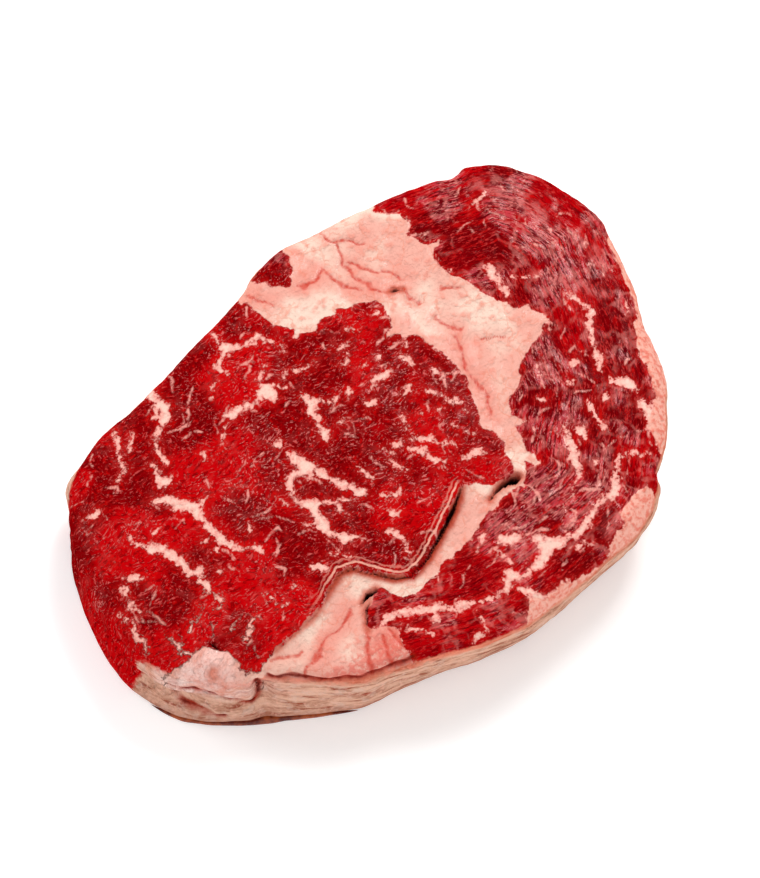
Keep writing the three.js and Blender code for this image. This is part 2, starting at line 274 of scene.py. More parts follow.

# %% [markdown]
# Marbling is fat that grew between the bundles of a muscle. The large veins here are placed one by one,
# because the eye knows a steak by them: the Y in the middle of the eye muscle and the long branches to
# its left. Each point is x, y and the width of the vein there.

# %% The veins of the eye muscle
EYE_VEINS = [
    [(-40, 40.5, 3), (-40, 38, 1.5), (-39.5, 36, 3), (-40.5, 33.5, 2), (-43, 32, 1.5), (-46, 30, 1.5),
     (-48, 27.5, 1), (-48.3, 24.5, 1), (-47.8, 23, 0.7)], [(-43, 35), (-41, 36.5)], [(-39, 35), (-38, 34)],
    [(-53, 39, 1.2), (-53.5, 37, 1.5), (-55, 34, 1), (-57, 31.5, 0.8), (-57, 29.5, 0.8), (-56, 28, 0.7)],
    [(-60, 27, 0.6), (-57.5, 28.3, 0.7)], [(-50.5, 35), (-52, 33), (-54, 31.5)],
    [(-72.5, 25, 1), (-71, 23.5, 1), (-68.5, 24.2, 1)],
    [(-51.5, 25.5, 1), (-51, 23.5, 1.2), (-52, 21, 1.5), (-53.5, 19, 1)],
    [(-51.8, 19.5, 3), (-51.2, 19.5, 3)],
    [(-57.5, 17.5, 1), (-55, 16, 2.5), (-53, 13.5, 2.2), (-51, 11, 2.5), (-50.5, 8.5, 3), (-50.8, 5, 1.8),
     (-50.3, 1, 2.2), (-49.8, -2.5, 1.8), (-49, -5, 1.5), (-47, -6.3, 0.8), (-45, -7.5, 0.8),
     (-44.5, -10, 0.8)], [(-48, 10, 1), (-45.5, 9.5, 0.6)], [(-54, 12, 1.2), (-53, 13, 1.2)],
    [(-66.7, 14, 1), (-67, 12, 1), (-65.5, 9.5, 1.6), (-64, 7.5, 2.5), (-62.5, 5, 2), (-61.5, 2.5, 2.2),
     (-60.8, 0, 2), (-61, -2.5, 2), (-60.3, -4, 2.2), (-58, -4, 1.3)],
    [(-60.5, -6, 1.5), (-60.5, -8.5, 1.8), (-59.7, -11, 1.4), (-59.7, -13.5, 1.3), (-61.5, -14.7, 1),
     (-63, -13.5, 0.8), (-65, -10.5, 0.5)], [(-63.5, 9, 0.6), (-62, 10, 0.6), (-60, 11.3, 0.6)],
    [(-76.8, 5, 1), (-75.5, 3.5, 1), (-76.5, 1.5, 1.2), (-77, -1, 1.2), (-76.7, -3.3, 1.2)],
    [(-73.5, 5.2, 1), (-72, 4.2, 2), (-71, 2.8, 1)],
    [(-80.3, -0.5, 0.8), (-80, -4, 1), (-81, -6.5, 0.8), (-80.3, -9, 0.8), (-80.8, -11.5, 0.6)],
    [(-75, -13, 1), (-74.5, -16, 1), (-75.5, -17, 1), (-73.5, -19, 1.2), (-72, -20.3, 1)],
    [(-70, -14.3), (-68.5, -13.2), (-66, -13.3)],
    [(-62, -24.5, 1), (-60, -24.3, 1.2), (-58, -22.5, 1.5), (-56.5, -21.3, 1.2), (-55, -20.7, 0.6)],
    [(-63, -21), (-61.5, -19.8), (-59.5, -19.7)],
    [(-50, -18.7, 1.2), (-49.6, -21.5, 1), (-49.5, -23.3, 1.5), (-48, -24, 0.6)],
    [(-53.7, 1.2, 1.5), (-53.3, 0.9, 1.5)], [(-53, -2.3, 1), (-53, -2.8, 1)],
    [(-55.5, -6.8, 1.2), (-55.5, -7.3, 1.2)], [(-74.2, 11, 1.2), (-73.8, 11.2, 1.2)],
    [(-29.5, 24.3, 1), (-28, 23, 2.6), (-25.5, 23.2, 2.3), (-23, 22.8, 1.6), (-19.5, 22.5, 1), (-18, 24, 3),
     (-17, 22, 3.6), (-17.5, 20, 1.2)], [(-15, 22.5, 1.2), (-13.5, 21, 0.8)],
    [(-13.5, 23, 1), (-11.5, 24, 1.2), (-9.5, 24, 1), (-7.5, 22.3, 1), (-5, 21.5, 1), (-3, 22, 0.6)],
    [(-18, 44.5, 1), (-18.2, 42, 0.8), (-18.5, 39.5, 1.5), (-18, 38.3, 2.5), (-16, 37.5, 1.5),
     (-14, 36.2, 1), (-12, 36, 1.2), (-9.5, 35.8, 1.5), (-9, 34, 0.8), (-7.5, 32, 0.7), (-6.5, 30.5, 0.8),
     (-8, 29, 0.7)], [(-19, 38.5, 1), (-21, 37, 1), (-22.8, 36, 1.5), (-22.5, 34.5, 1), (-21.5, 33, 1.2)],
    [(-29, 30.5, 0.6), (-27.5, 31.7, 0.6), (-25, 33.3, 0.4)],
    [(-17.5, 26, 0.8), (-16, 27.5, 0.8), (-14.5, 28.2, 1), (-13, 28.7, 0.6)],
    [(-40, 19.5, 1.3), (-40, 18, 1)], [(-36, 17, 0.5), (-32, 21, 0.5), (-30, 22.5, 0.5)],
    [(-11.5, 17, 0.8), (-11.5, 15.5, 1.5), (-11, 13.5, 2.8), (-12, 11.5, 1.8), (-12.5, 8.5, 1.5),
     (-13.7, 7, 1.5), (-13.5, 5, 2.8), (-14.5, 3.5, 1)],
    [(-10, 13.5, 1.5), (-8.5, 12, 0.8), (-7, 10.5, 0.6), (-5.3, 10.7, 0.8)],
    [(-24, 10, 2.2), (-24, 9.5, 2.2)], [(-23, 6, 1.5), (-23, 3.5, 3), (-23, 1, 5.5)],
    [(-24, 1, 3), (-27, 1, 2.2), (-28.8, -1, 1.8), (-29.7, -4, 1.6), (-29, -6.5, 2.5), (-27.5, -8, 3),
     (-28.5, -11, 3.2), (-28.5, -13.5, 3), (-28.7, -16, 1.6), (-27.5, -18, 1.8), (-26.5, -19.8, 2.5),
     (-25, -20.8, 1.3), (-23.5, -21.8, 0.5)],
    [(-22.5, 1, 3), (-21.5, 0, 2.5), (-20.5, -3, 2), (-20, -5.5, 1.2), (-18.5, -8, 1.8), (-17, -10.5, 1.8),
     (-16.2, -13, 1.8)],
    [(-27, -8, 2), (-25, -9, 1), (-23, -10.5, 1), (-20.5, -11.3, 1.3), (-19, -12.5, 1),
     (-17.5, -13.5, 0.7)], [(-22.7, -11, 1), (-23, -13, 1.8), (-22.3, -15, 1)],
    [(-29.5, -12, 1), (-31, -11.5, 0.7), (-32.5, -10.2, 0.5)],
    [(-33, -1, 0.8), (-32.5, -3, 1.2), (-32, -4.5, 0.5)], [(-39.5, 9, 0.6), (-38, 7, 0.7), (-36, 4.3, 0.6)],
    [(-42.5, -2.5, 1), (-43.5, -4, 0.8)], [(-37.5, -20.5, 1), (-35.7, -21.5, 1.6), (-34.8, -23.5, 1)],
    [(-43.5, -21.5, 1), (-42, -23, 0.6)], [(-32, -20.3, 0.7), (-30.5, -22.5, 0.8), (-28.5, -24, 0.6)],
    [(-12.5, -7, 0.8), (-12.3, -9, 0.8), (-12, -11.5, 1)],
    [(-12, -16.5, 1.2), (-11, -17.5, 1.2), (-9.7, -18.7, 1.5), (-8, -18, 0.8)],
    [(-13.5, -21, 1), (-12.3, -22.5, 1)],
    [(-18, -24.5, 1), (-16, -25.5, 1), (-15.5, -27.5, 0.8), (-16, -30, 0.7), (-17, -32, 0.6)],
    [(2.3, 21.7, 0.5), (4, 21, 1.2), (6, 20.5, 1)],
    [(3.8, 18.5, 1), (3.3, 17, 1), (2, 16.5, 1), (1, 17.5, 0.5)],
    [(8.3, 23.5, 0.6), (9.5, 22.8, 1.5), (10.5, 22, 0.8)], [(17, 22.8, 1), (17.6, 22.8, 1)],
    [(3.2, 7, 1), (5, 8, 1.8), (6.5, 8.2, 2), (8.5, 8.2, 1.2), (9.8, 7.8, 0.6)],
    [(14.5, 9.7, 1), (14.8, 8, 1.8), (15, 6.2, 0.8)], [(17.1, 11.3, 1.2), (17.5, 11.3, 1.2)],
    [(9.3, 12.5, 1.2), (9.7, 12.5, 1.2)], [(5.5, 13.5, 1), (5.9, 13.5, 1)],
    [(7, 1.7, 1), (8.7, 1, 1.6), (10, 1.2, 1), (11.3, 2, 0.9)], [(18.3, 1.5, 1.8), (18.7, 1.3, 1.8)],
    [(-0.3, 4.3, 2), (0.3, 4.2, 2)], [(-8.7, 5, 1.3), (-6.5, 4.2, 1)],
    [(4.3, -3.7, 1.6), (3.3, -5.5, 1.2), (3.2, -7.5, 1), (3.8, -8.8, 0.6)],
    [(-5, -7, 0.7), (-4.5, -8.5, 0.8), (-3, -9.3, 0.8), (-2, -8, 1), (0, -8.5, 1), (2, -9.3, 1),
     (4, -10.5, 1.4), (6, -12, 1.2), (7.5, -14, 1), (9, -15.8, 1), (10.3, -17.3, 0.7)],
    [(-5.2, -9, 0.5), (-5.2, -12, 0.5), (-4.5, -13.5, 0.5), (-3.5, -14.7, 0.5)],
    [(0, -10.5, 0.7), (1.5, -12.5, 0.8), (2.5, -13.5, 1.5), (3, -15.5, 1), (3.7, -17.8, 0.8), (5.5, -19, 1),
     (3.5, -20, 0.8)], [(12.5, -12.5, 0.5), (13, -14.5, 0.8), (14.5, -16.5, 0.7), (15.5, -18.5, 0.6)],
    [(13.5, -1.5, 0.8), (15, -3.5, 1), (16, -5.5, 0.8), (16.5, -7.5, 1), (17.8, -9, 1), (18.7, -7.5, 0.6)],
    [(17.1, -11.5, 1.2), (17.5, -11.5, 1.2)],
    [(9, -21, 1), (11, -21.8, 1), (13, -22, 1.2), (13.8, -23.5, 0.8)],
    [(12.8, -7.8, 1.2), (13.2, -7.8, 1.2)], [(8.8, -5.7, 0.8), (9.2, -5.7, 0.8)],
    [(-3, 8.5, 0.8), (-2, 9.8, 1), (-1.3, 10.5, 0.7)],
]
print(len(EYE_VEINS), "veins in the eye muscle")

# %% [markdown]
# The cap muscle is coarser than the eye. Its fat lies in longer branches that follow the curl of the
# muscle, with one main branch through the lower part and soft pink patches towards the right edge,
# which are partly pink tissue and partly a painted sheen of glare on the wet surface.

# %% The veins of the cap muscle
CAP_VEINS = [
    [(47, 14, 3.2), (46.5, 11, 1.5), (46.5, 8, 1.6), (46, 6.3, 1.2)],
    [(49.5, 9, 0.8), (51, 7.5, 0.9), (53, 6.2, 0.7), (55, 5.2, 0.7)],
    [(54.5, 31, 0.7), (57, 31.5, 0.7), (60, 31, 0.6)], [(58, -4, 2), (58.5, -7.5, 1.5), (59.5, -9.5, 1)],
    [(59, -11, 1), (56.5, -13, 1.6), (55, -15.5, 1.8), (53.5, -18.5, 1), (52, -22, 1.5), (50.5, -24.5, 1)],
    [(67.5, -14, 1.2), (66.5, -16.5, 1)], [(46, -18.5, 1.2), (48, -19, 0.7)],
    [(42.3, -21.5, 1.5), (43.3, -23, 1)], [(39.5, -13.5, 0.8), (37.5, -16, 1), (40, -17.5, 0.8)],
    [(34, -21, 1), (35, -21.5, 0.8)], [(46.3, -30.5, 2.2), (46.7, -30.7, 2.2)],
    [(50.5, -28, 1.2), (53, -30.5, 3), (54, -33.5, 1.6)], [(52.5, -37, 2), (52, -41, 3), (50.5, -45, 2)],
    [(36.5, -33.5, 2.5), (35.5, -36, 1.2)], [(33.5, -42.5, 1.2), (33, -43.5, 1.2)],
    [(42.5, -29, 1), (41.5, -33, 1.2), (41, -36.5, 0.8)],
    [(33.8, -30, 1.2), (32.5, -34, 1.5), (31, -37, 2.5), (29.5, -39.5, 2.5), (28.5, -42, 1.5), (25, -44, 1),
     (20, -46.5, 1)],
    [(45, -49, 0.7), (43, -47, 1), (41, -45.5, 1.2), (39, -45.3, 1.2), (37, -46.5, 1.5), (34.5, -48.5, 2),
     (32, -51.5, 3), (29, -51, 1.5), (26, -51.3, 2), (22, -53, 2), (18, -54, 2), (14, -53.5, 2),
     (10, -51.5, 4.5), (9.5, -48.5, 2.5)],
    [(10, -52, 3), (7, -53.5, 3), (4, -54.3, 1.5), (0, -54, 2), (-1.5, -52, 3.5), (-5, -53.8, 1.5),
     (-10, -53.5, 1), (-13, -52, 1), (-16, -50.5, 1.2), (-19, -49, 1)],
    [(-2, -56, 1.5), (-0.5, -58.5, 2.2), (0.5, -61.5, 2), (1.5, -63, 1.5)],
    [(16, -56, 1), (18, -57, 1.2), (19.5, -58, 1)], [(2.5, -43.5, 2.5), (4.5, -45, 3), (6.5, -46, 1.5)],
    [(0, -40, 1.5), (-2, -41.3, 1), (-4, -41.5, 0.8)],
    [(-32, -41, 2), (-29, -42, 1.8), (-26, -43.5, 2), (-23, -45.5, 2.2), (-20.5, -47, 2), (-19, -49, 1),
     (-17, -51, 0.8)], [(-22.7, -49, 2.8), (-22.3, -49.2, 2.8)],
    [(-29.5, -45.5, 0.7), (-27.5, -48.5, 0.8), (-25.5, -51.5, 0.6)],
    [(-18.5, -58.8, 0.5), (-15, -58.5, 0.6), (-14, -56, 0.6), (-13, -54, 0.6)],
    [(0, -45, 0.7), (0.7, -48, 0.8), (1, -50, 0.8)],
]
# Pink patches, partly pink tissue and partly a painted sheen of glare on the wet right edge of the cap.
PINK_AND_SHEEN_BANDS = [
    [(59, 35.5, 2), (61.5, 32, 1.5), (64, 27, 1.5), (66, 23, 3), (66.5, 19, 2.5), (65, 15, 1.5),
     (64, 10, 1)], [(24, -57, 2.5), (28, -57, 2.5)], [(57, 3, 1), (62, -4, 2.5), (65, -10, 1)],
    [(68, 12, 1), (71, 3, 1.5), (69, -5, 1)],
]
print(len(CAP_VEINS), "veins in the cap muscle")

# %% [markdown]
# Fat isn't smooth either. Where the seam bends it creases, and thin reddish-brown lines of connective
# tissue show in the creases. Clefts are deeper: along its lower edge the eye muscle has pulled off the
# seam and stands proud of it, with a dark gap below, and there are two short splits at its corner.

# %% Creases and clefts
CREASES = [
    [(21, 49), (21.5, 46), (22, 44.5), (20.5, 41.5), (19.7, 38.5), (19.8, 35), (20.3, 31), (21, 28),
     (22.5, 26)], [(22.5, 45), (25, 43), (27.5, 40.5)], [(14.5, 41), (15, 37), (16, 33.5), (18, 31)],
    [(21, 38.5), (23, 35), (25, 31.5)], [(26.5, 31), (28, 28), (28.7, 27)],
    [(28, 12.5), (29, 8.5), (31, 6.5)],
    [(29.5, 5.5), (27, 2), (25.5, -1), (24.7, -5), (24.5, -12), (22, -16)],
    [(27, 24), (27, 20), (27.5, 18.5)], [(34, 17.3), (35, 18), (38, 15.5)],
    [(7, 41), (8.5, 39.8), (11, 39.5), (13.5, 40.5)], [(-4, 47), (-3.3, 44), (-1.5, 41)],
    [(34, 1), (36, -1), (38, -3)], [(-59.5, -32.5), (-55, -34.5), (-52.5, -35)],
    [(-55, -39.5), (-51, -38.7), (-46, -36.5), (-40, -35.7), (-37, -34.5)], [(-37.5, -42), (-40, -44)],
    [(-35, -44), (-36.5, -48), (-37, -50)], [(-39, -43), (-41, -47), (-42, -49)],
    [(-33, -44), (-32.5, -48), (-32.3, -52)],
    [(-62, -38), (-55, -42.5), (-50, -46), (-46, -48), (-43, -50), (-40, -51.3), (-37, -53)],
]
CREASE_REACH = 0.7
EYE_EDGE = [
    (-57, -31, 0.1), (-50, -30.4, 0.15), (-44, -29.9, 0.2), (-38, -27.3, 0.25), (-33, -25.4, 0.35),
    (-29.8, -26.6, 0.5), (-26.8, -30.4, 0.5), (-23.5, -34.7, 0.5), (-20, -36.7, 0.5), (-15, -35.8, 0.7),
    (-8, -33, 1.1), (-2, -30.2, 1.3), (4.2, -26.6, 0.5),
]
CLEFTS = [
    (EYE_EDGE, 2.2),
    ([(7.2, -33.4, 0.3), (10, -32.4, 0.9), (13, -32.2, 1.8), (15.3, -32.8, 2.8), (16.4, -33, 2.0)], 8),
    ([(-37, -41, 0.2), (-35, -38.2, 0.6), (-33.6, -36.3, 0.6), (-32.3, -35.9, 0.4)], 3),
    ([(-33.5, -34.6, 0.5), (-31, -33.8, 1.3), (-29, -34.1, 1.1)], 4),
    ([(23.4, 25.4, 0.3), (25, 25.1, 1), (26.8, 23.9, 0.3)], 2),
    ([(-68.6, -19.2, 0.4), (-68, -21, 1), (-67.4, -23.4, 0.5)], 3),
]
print(len(CREASES), "creases and", len(CLEFTS), "clefts")

# %% [markdown]
# Between the large veins lie many small ones, too many to place by hand. Each is a short random walk
# that starts in open lean and turns a little at every step. In the cap it sets out along the curl of
# the muscle, and in the eye along one of a few favoured directions. A fixed seed keeps them the same.

# %% Where the lean is open, and which side of the seam is the cap
SEAM_LINE = [(15, 46), (28, 32), (31, 15), (32, 0), (24, -14), (20, -28), (8, -34), (-10, -36.5), (-22, -39),
             (-34, -31), (-46, -34), (-62, -36)]
SEAM_TOP = (-9, 60)
OUTLINE = fine_points[::60, :2]

def open_lean(points):
    """How far each point is from bulk fat and large veins, below zero inside them."""
    bulk = [region_distance(points, region) for region in (SEAM_FAT, RIGHT_RIM_FAT, LOWER_RIM_FAT)]
    veins = [lines_distance(points, lines) for lines in (EYE_VEINS, CAP_VEINS)]
    return np.min([*bulk, *veins], axis=0)

def is_cap(points):
    """Whether each point lies on the cap's side of the seam."""
    return line_distance(points, [SEAM_TOP, *SEAM_LINE[1:]])[2] > 0

# %% Scatter the small veins
EYE_HEADINGS = np.radians([-15, 5, 25, 78, 100])
SMALL_VEINS = 210
TRIES = 1600
LOW_CORNER = (-84, -63)
HIGH_CORNER = (78, 52)
CLEAR_OF_FAT = 0.9
CLEAR_OF_EDGE = 2.5
WALK_STEP = 1.2
WALK_STEPS = (2, 6)
WIDTHS = (0.4, 0.95)
FIRST_SPREAD = 0.3
TURN_SPREAD = 0.45
START_SHARE = 0.6
TIP_WIDTH = 0.15
rng = np.random.default_rng(7)
starts = rng.uniform(LOW_CORNER, HIGH_CORNER, (TRIES, 2))
inside = region_distance(starts, OUTLINE[:-1]) < -CLEAR_OF_EDGE
starts = starts[(open_lean(starts) > CLEAR_OF_FAT) & inside][:SMALL_VEINS]
small_veins = []
for start, in_cap in zip(starts, is_cap(starts)):
    around = math.atan2(start[1] - MIDDLE[1], start[0] - MIDDLE[0]) + math.pi / 2
    heading = (around if in_cap else rng.choice(EYE_HEADINGS)) + rng.normal(0, FIRST_SPREAD)
    width = rng.uniform(*WIDTHS)
    vein = [(*start, width * START_SHARE)]
    for _ in range(rng.integers(*WALK_STEPS)):
        heading += rng.normal(0, TURN_SPREAD)
        x, y, _ = vein[-1]
        x += WALK_STEP * math.cos(heading)
        y += WALK_STEP * math.sin(heading)
        vein.append((x, y, width * rng.uniform(0.5, 1.1)))
    vein[-1] = (*vein[-1][:2], TIP_WIDTH)
    small_veins.append(vein)
print(len(small_veins), "small veins")

# %% Creases on the wall, as x, y on the outline and height above the table
WALL_CREASES = [
    [(-80, -17.5, 17), (-77, -22, 14.5), (-73, -27, 12.5), (-69, -31, 10), (-66.5, -33.5, 8.5)],
    [(-84, -11, 11), (-82, -16, 8.5), (-78, -22, 6.5), (-72, -29, 5)],
    [(-65.5, -34, 21), (-65, -34.5, 15), (-65.8, -34, 9)],
    [(-63, -36, 22.5), (-56, -42, 22), (-48, -47.5, 22.5), (-41, -51, 22.5), (-33, -54, 23)],
    [(-50, -46.5, 11), (-42, -50, 10), (-30, -54, 11)],
]
WALL_CREASE_WIDTH = 0.5
WALL_CREASE_REACH = 0.9
WALL_CREASE_DEPTH = 1.0
WALL_CREASE_SWAY = 1.5

def share_at(x, y):
    """The share of the way round the outline whose point is nearest to x, y."""
    nearest = np.argmin(np.hypot(fine_points[:, 0] - x, fine_points[:, 1] - y))
    return fine_lengths[nearest] / PERIMETER

def wall_crease_distance(share, height):
    """Distance to the wall's creases, with the wall unrolled flat: mm along it by mm up it."""
    unrolled = np.column_stack([share * PERIMETER, height])
    unrolled[:, 1] += WALL_CREASE_SWAY * flat_noise(unrolled, 9.0, 41, 2)
    lines = [[(share_at(x, y) * PERIMETER, z) for x, y, z in line] for line in WALL_CREASES]
    return lines_distance(unrolled, lines, WALL_CREASE_WIDTH)

# %% [markdown]
# Now the form itself. The skin is a fine grid pressed into the outline, exactly as the CAD solid was
# made from a coarser box: a square grid for each cut face and a strip for the wall. The heights use the
# same swellings, sunken seam and raised edge as the CAD solid, so the two agree to a fraction of a
# millimetre, and then small hollows, fibres and creases are added that the solid is too coarse to hold.

# %% Heights of the upper cut face
SEAM_HALF_WIDTH = 6.0
SEAM_SINK = 0.9
EYE_LIP = 1.3
EYE_LIP_REACH = 5.0
SWELLINGS = [(-38, 6, 34, 26, 1.5), (2, 8, 22, 20, 0.9), (57, 12, 16, 26, 0.8), (36, -34, 26, 16, 0.7),
             (-10, -50, 18, 9, 0.6), (-71, -26, 6, 6, 1.6)]

def broad_height(points):
    """The CAD's upper face: the thickness, plus a bell for each swelling, less a bell across the
    seam, plus a bell back from the eye muscle's lifted edge on its own side."""
    height = np.full(len(points), THICKNESS)
    for x, y, reach_x, reach_y, rise in SWELLINGS:
        height += rise * bell(np.hypot((points[:, 0] - x) / reach_x, (points[:, 1] - y) / reach_y), 1)
    height -= SEAM_SINK * bell(line_distance(points, SEAM_LINE)[1], SEAM_HALF_WIDTH)
    _, distance, side = line_distance(points, EYE_EDGE)
    return height + EYE_LIP * bell(distance, EYE_LIP_REACH) * (side > 0)

# %% The section of the wall, and the folds in it
SHOULDER_SHARE = 0.45
FOOT_SHARE = 0.8
SHOULDER_HEIGHT = 1.15
FOLDS = [  # x and y on the outline, height, reach along the outline, reach up the wall, how far out
    (-82, -15, 9, 15, 2.4, -3.5), (-79, -17, 16.5, 9, 4, 1),
    (-71.5, -28.5, 19, 6, 4, 1.4), (-73, -27, 6, 8, 3.5, 1.6), (-64, -34.5, 12, 2.2, 9, -2.2),
    (-76.5, -23, 17, 1.8, 3, -0.8), (-69, -31.5, 18, 1.5, 4, -0.8), (-73, -27, 15, 5, 1.2, -0.6),
    (-67, 36.5, 12, 5, 5, 2.4), (56.5, 41.4, 13, 3, 12, -1.2),
    (40, -57, 16, 6, 5, 0.8), (45, -53, 14, 2.5, 10, -1), (0, -63.5, 11, 30, 2, -0.9),
    (62, -37, 13, 20, 2, -0.9),
]
RIPPLES = [(9, 0.22), (17, 0.18), (29, 0.12)]

def wall_section(down, rounding, tuck, face_height):
    """A quarter ellipse over the shoulder, a parabola inwards down the wall, and a quarter circle at
    the foot. Gives how far in from the outline the wall is, and its height."""
    top = face_height - rounding * SHOULDER_HEIGHT
    over = np.clip(down / SHOULDER_SHARE, 0, 1) * np.pi / 2
    share = np.clip((down - SHOULDER_SHARE) / (FOOT_SHARE - SHOULDER_SHARE), 0, 1)
    under = np.clip((down - FOOT_SHARE) / (1 - FOOT_SHARE), 0, 1) * np.pi / 2
    below_shoulder = tuck * share ** 2 + FOOT * (1 - np.cos(under))
    inset = np.where(down < SHOULDER_SHARE, rounding * (1 - np.sin(over)), below_shoulder)
    straight = top + (FOOT - top) * share
    height = np.where(down < SHOULDER_SHARE, top + rounding * SHOULDER_HEIGHT * np.cos(over), straight)
    return inset, np.where(down > FOOT_SHARE, FOOT * (1 - np.sin(under)), height)

def wall_relief(place, share, height):
    """How far folds and ripples push the wall out: a bell along the outline times a bell up the wall
    for each fold, and sine waves round the wall that fade above and below its middle."""
    out = np.zeros(len(place))
    for x, y, level, along, up, push in FOLDS:
        out += push * spot(place, x, y, along) * bell(height - level, up)
    for waves, size in RIPPLES:
        out += size * bell(height - THICKNESS / 2, THICKNESS / 3) * np.sin(2 * np.pi * waves * share + waves)
    return out

# %% The grids of the two cut faces and the wall
TOP_SQUARES = 240
WALL_ROWS = 24
BOTTOM_SQUARES = TOP_SQUARES // 2

def square_grid(squares):
    """Rows and columns of a square grid from -1 to 1, as a flat list of (a, b)."""
    line = np.linspace(-1, 1, squares + 1)
    b, a = np.meshgrid(line, line, indexing="ij")
    return np.stack([a.ravel(), b.ravel()], axis=1)

def share_round(ab):
    """The share of the way round the square of each point, from its lower right corner. Each side is
    a quarter, counted from corner to corner."""
    a, b = ab[:, 0], ab[:, 1]
    size = np.maximum(np.abs(ab).max(axis=1), 1e-9)
    share = np.select([np.isclose(a, size), np.isclose(b, size), np.isclose(a, -size)],
                      [(1 + b / size) / 8, (3 - a / size) / 8, (5 - b / size) / 8], (7 + a / size) / 8)
    return share % 1.0, np.abs(ab).max(axis=1)

def rim_numbers(squares):
    """The numbers of a square grid's rim vertices, in order round the square from its lower right
    corner: up the right side, back along the top, down the left side and along the bottom."""
    row = squares + 1
    up = np.arange(squares)
    return np.concatenate([up * row + squares, squares * row + squares - up, (squares - up) * row, up])

def grid_faces(squares, start, upward):
    """Quads between neighbouring rows of a square grid, counter-clockwise from above if upward."""
    row = squares + 1
    b, a = np.meshgrid(np.arange(squares), np.arange(squares), indexing="ij")
    first = start + (b * row + a).ravel()
    corners = np.stack([first, first + 1, first + row + 1, first + row], axis=1)
    return corners if upward else corners[:, ::-1]

def face_plan(squares, inset):
    """The plan position of each point of a cut face: from the middle towards the brink of the wall."""
    share, size = share_round(square_grid(squares))
    place, outward = rim_at(share)
    brink = place[:, :2] - outward * inset(place)[:, None]
    return MIDDLE + (brink - MIDDLE) * size[:, None]

top_plan = face_plan(TOP_SQUARES, lambda place: place[:, 2])
bottom_plan = face_plan(BOTTOM_SQUARES, lambda place: place[:, 3] + FOOT)
RING = 4 * TOP_SQUARES
ring_share = (np.arange(RING) / RING) % 1.0
ring_place, ring_outward = rim_at(ring_share)
brink_height = broad_height(ring_place[:, :2] - ring_outward * ring_place[:, 2:3])
print(f"{len(top_plan)} points on the upper face, {RING} round the wall")

# %% [markdown]
# The small relief is what catches the light. Lean swells a little between its veins, the cap's bundles
# run as low ridges along the curl of the muscle, fat is softly lumpy and dips in its creases. Each is
# noise at the scale of the real thing, from 0.1 to 0.4 mm high, weighted by the map of the slice.

# %% Read the map at every point of the upper face
DARK_SPOTS = [(0, -4, 22), (49, -30, 14), (22, -45, 14)]
# SHEEN_SPOTS mark the wet patches: there the clear coat is stronger, and the colour gets a painted sheen and
# paler painted glints.
SHEEN_SPOTS = [(52, 40, 11), (60, 28, 9), (66, 12, 9), (63, 0, 8), (45, -16, 8), (33, -27, 9), (22, -41, 9),
               (5, -43, 8), (40, 46, 9), (10, 6, 9), (-8, -18, 8), (-38, 2, 8)]
DARKENING = 0.5
LIP_STARTS = (-48, -32)
LIP_ENDS = (2, 5)
BUNDLE_SIZE = 4.6
BLEND = 3

def highest(points, spots):
    """The highest of several bells, each given as x, y and reach."""
    return np.max([spot(points, *one) for one in spots], axis=0)

def map_at(points, vein_points, wander_reach, seed):
    """Every value that the relief and the colours need, for each point of the plan."""
    moved = wander(points, 3.0, wander_reach, seed)
    seam = np.maximum(region_distance(moved, SEAM_FAT), -region_distance(moved, TOP_MUSCLE))
    rim = np.minimum(region_distance(moved, RIGHT_RIM_FAT), region_distance(moved, LOWER_RIM_FAT))
    moved_veins = wander(wander(vein_points, 2.2, 0.6, seed + 7), 1.1, 0.3, seed + 17)
    veins = np.minimum(lines_distance(moved_veins, EYE_VEINS), lines_distance(moved_veins, CAP_VEINS))
    seam_gap = line_distance(points, SEAM_LINE)[1]
    near_line = wander(points, 3.0, 0.25, seed + 3)
    near_crease = wander(points, 4, 1.0, seed + 9)
    edge_gap, _, edge_side = line_distance(near_line, EYE_EDGE)
    return {
        "bulk": np.minimum(seam, rim),
        "fat": np.minimum.reduce([seam, rim, veins]),
        "small": lines_distance(vein_points, small_veins),
        "cells": cell_edges(wander(points, 3.0, 1.2, seed + 27), BUNDLE_SIZE, seed + 29),
        "tone": flat_noise(points, 15.0, seed + 31, 2) - DARKENING * highest(points, DARK_SPOTS),
        "patch": flat_noise(points, 7.0, seed + 33, 3),
        "sheen": highest(points, SHEEN_SPOTS),
        "rim": smooth_step(seam - rim, -BLEND, BLEND),
        "cap": smooth_step(np.where(is_cap(points), seam_gap, -seam_gap), -BLEND, BLEND),
        "pink_and_sheen": lines_distance(moved, PINK_AND_SHEEN_BANDS),
        "crease": np.min([line_distance(near_crease, line)[1] for line in CREASES], axis=0),
        "cleft": lines_distance(near_line, [line for line, _ in CLEFTS]),
        "lip": edge_gap * np.where(edge_side < 0, -1, 1),
        "lip_share": smooth_step(points[:, 0], *LIP_STARTS) * (1 - smooth_step(points[:, 0], *LIP_ENDS)),
        "inset": line_distance(points, OUTLINE.tolist(), 0.0)[1],
    }

FACE_MAP = (0.7, 11)
UNDERSIDE_MAP = (2.5, 91)
top_map = map_at(top_plan, top_plan, *FACE_MAP)
print("fat covers", round(float((top_map["fat"] < 0).mean()), 2), "of the upper face's points")

# %% Carve the clefts, then add the small relief
FULL_DEPTH_AT = 0.7

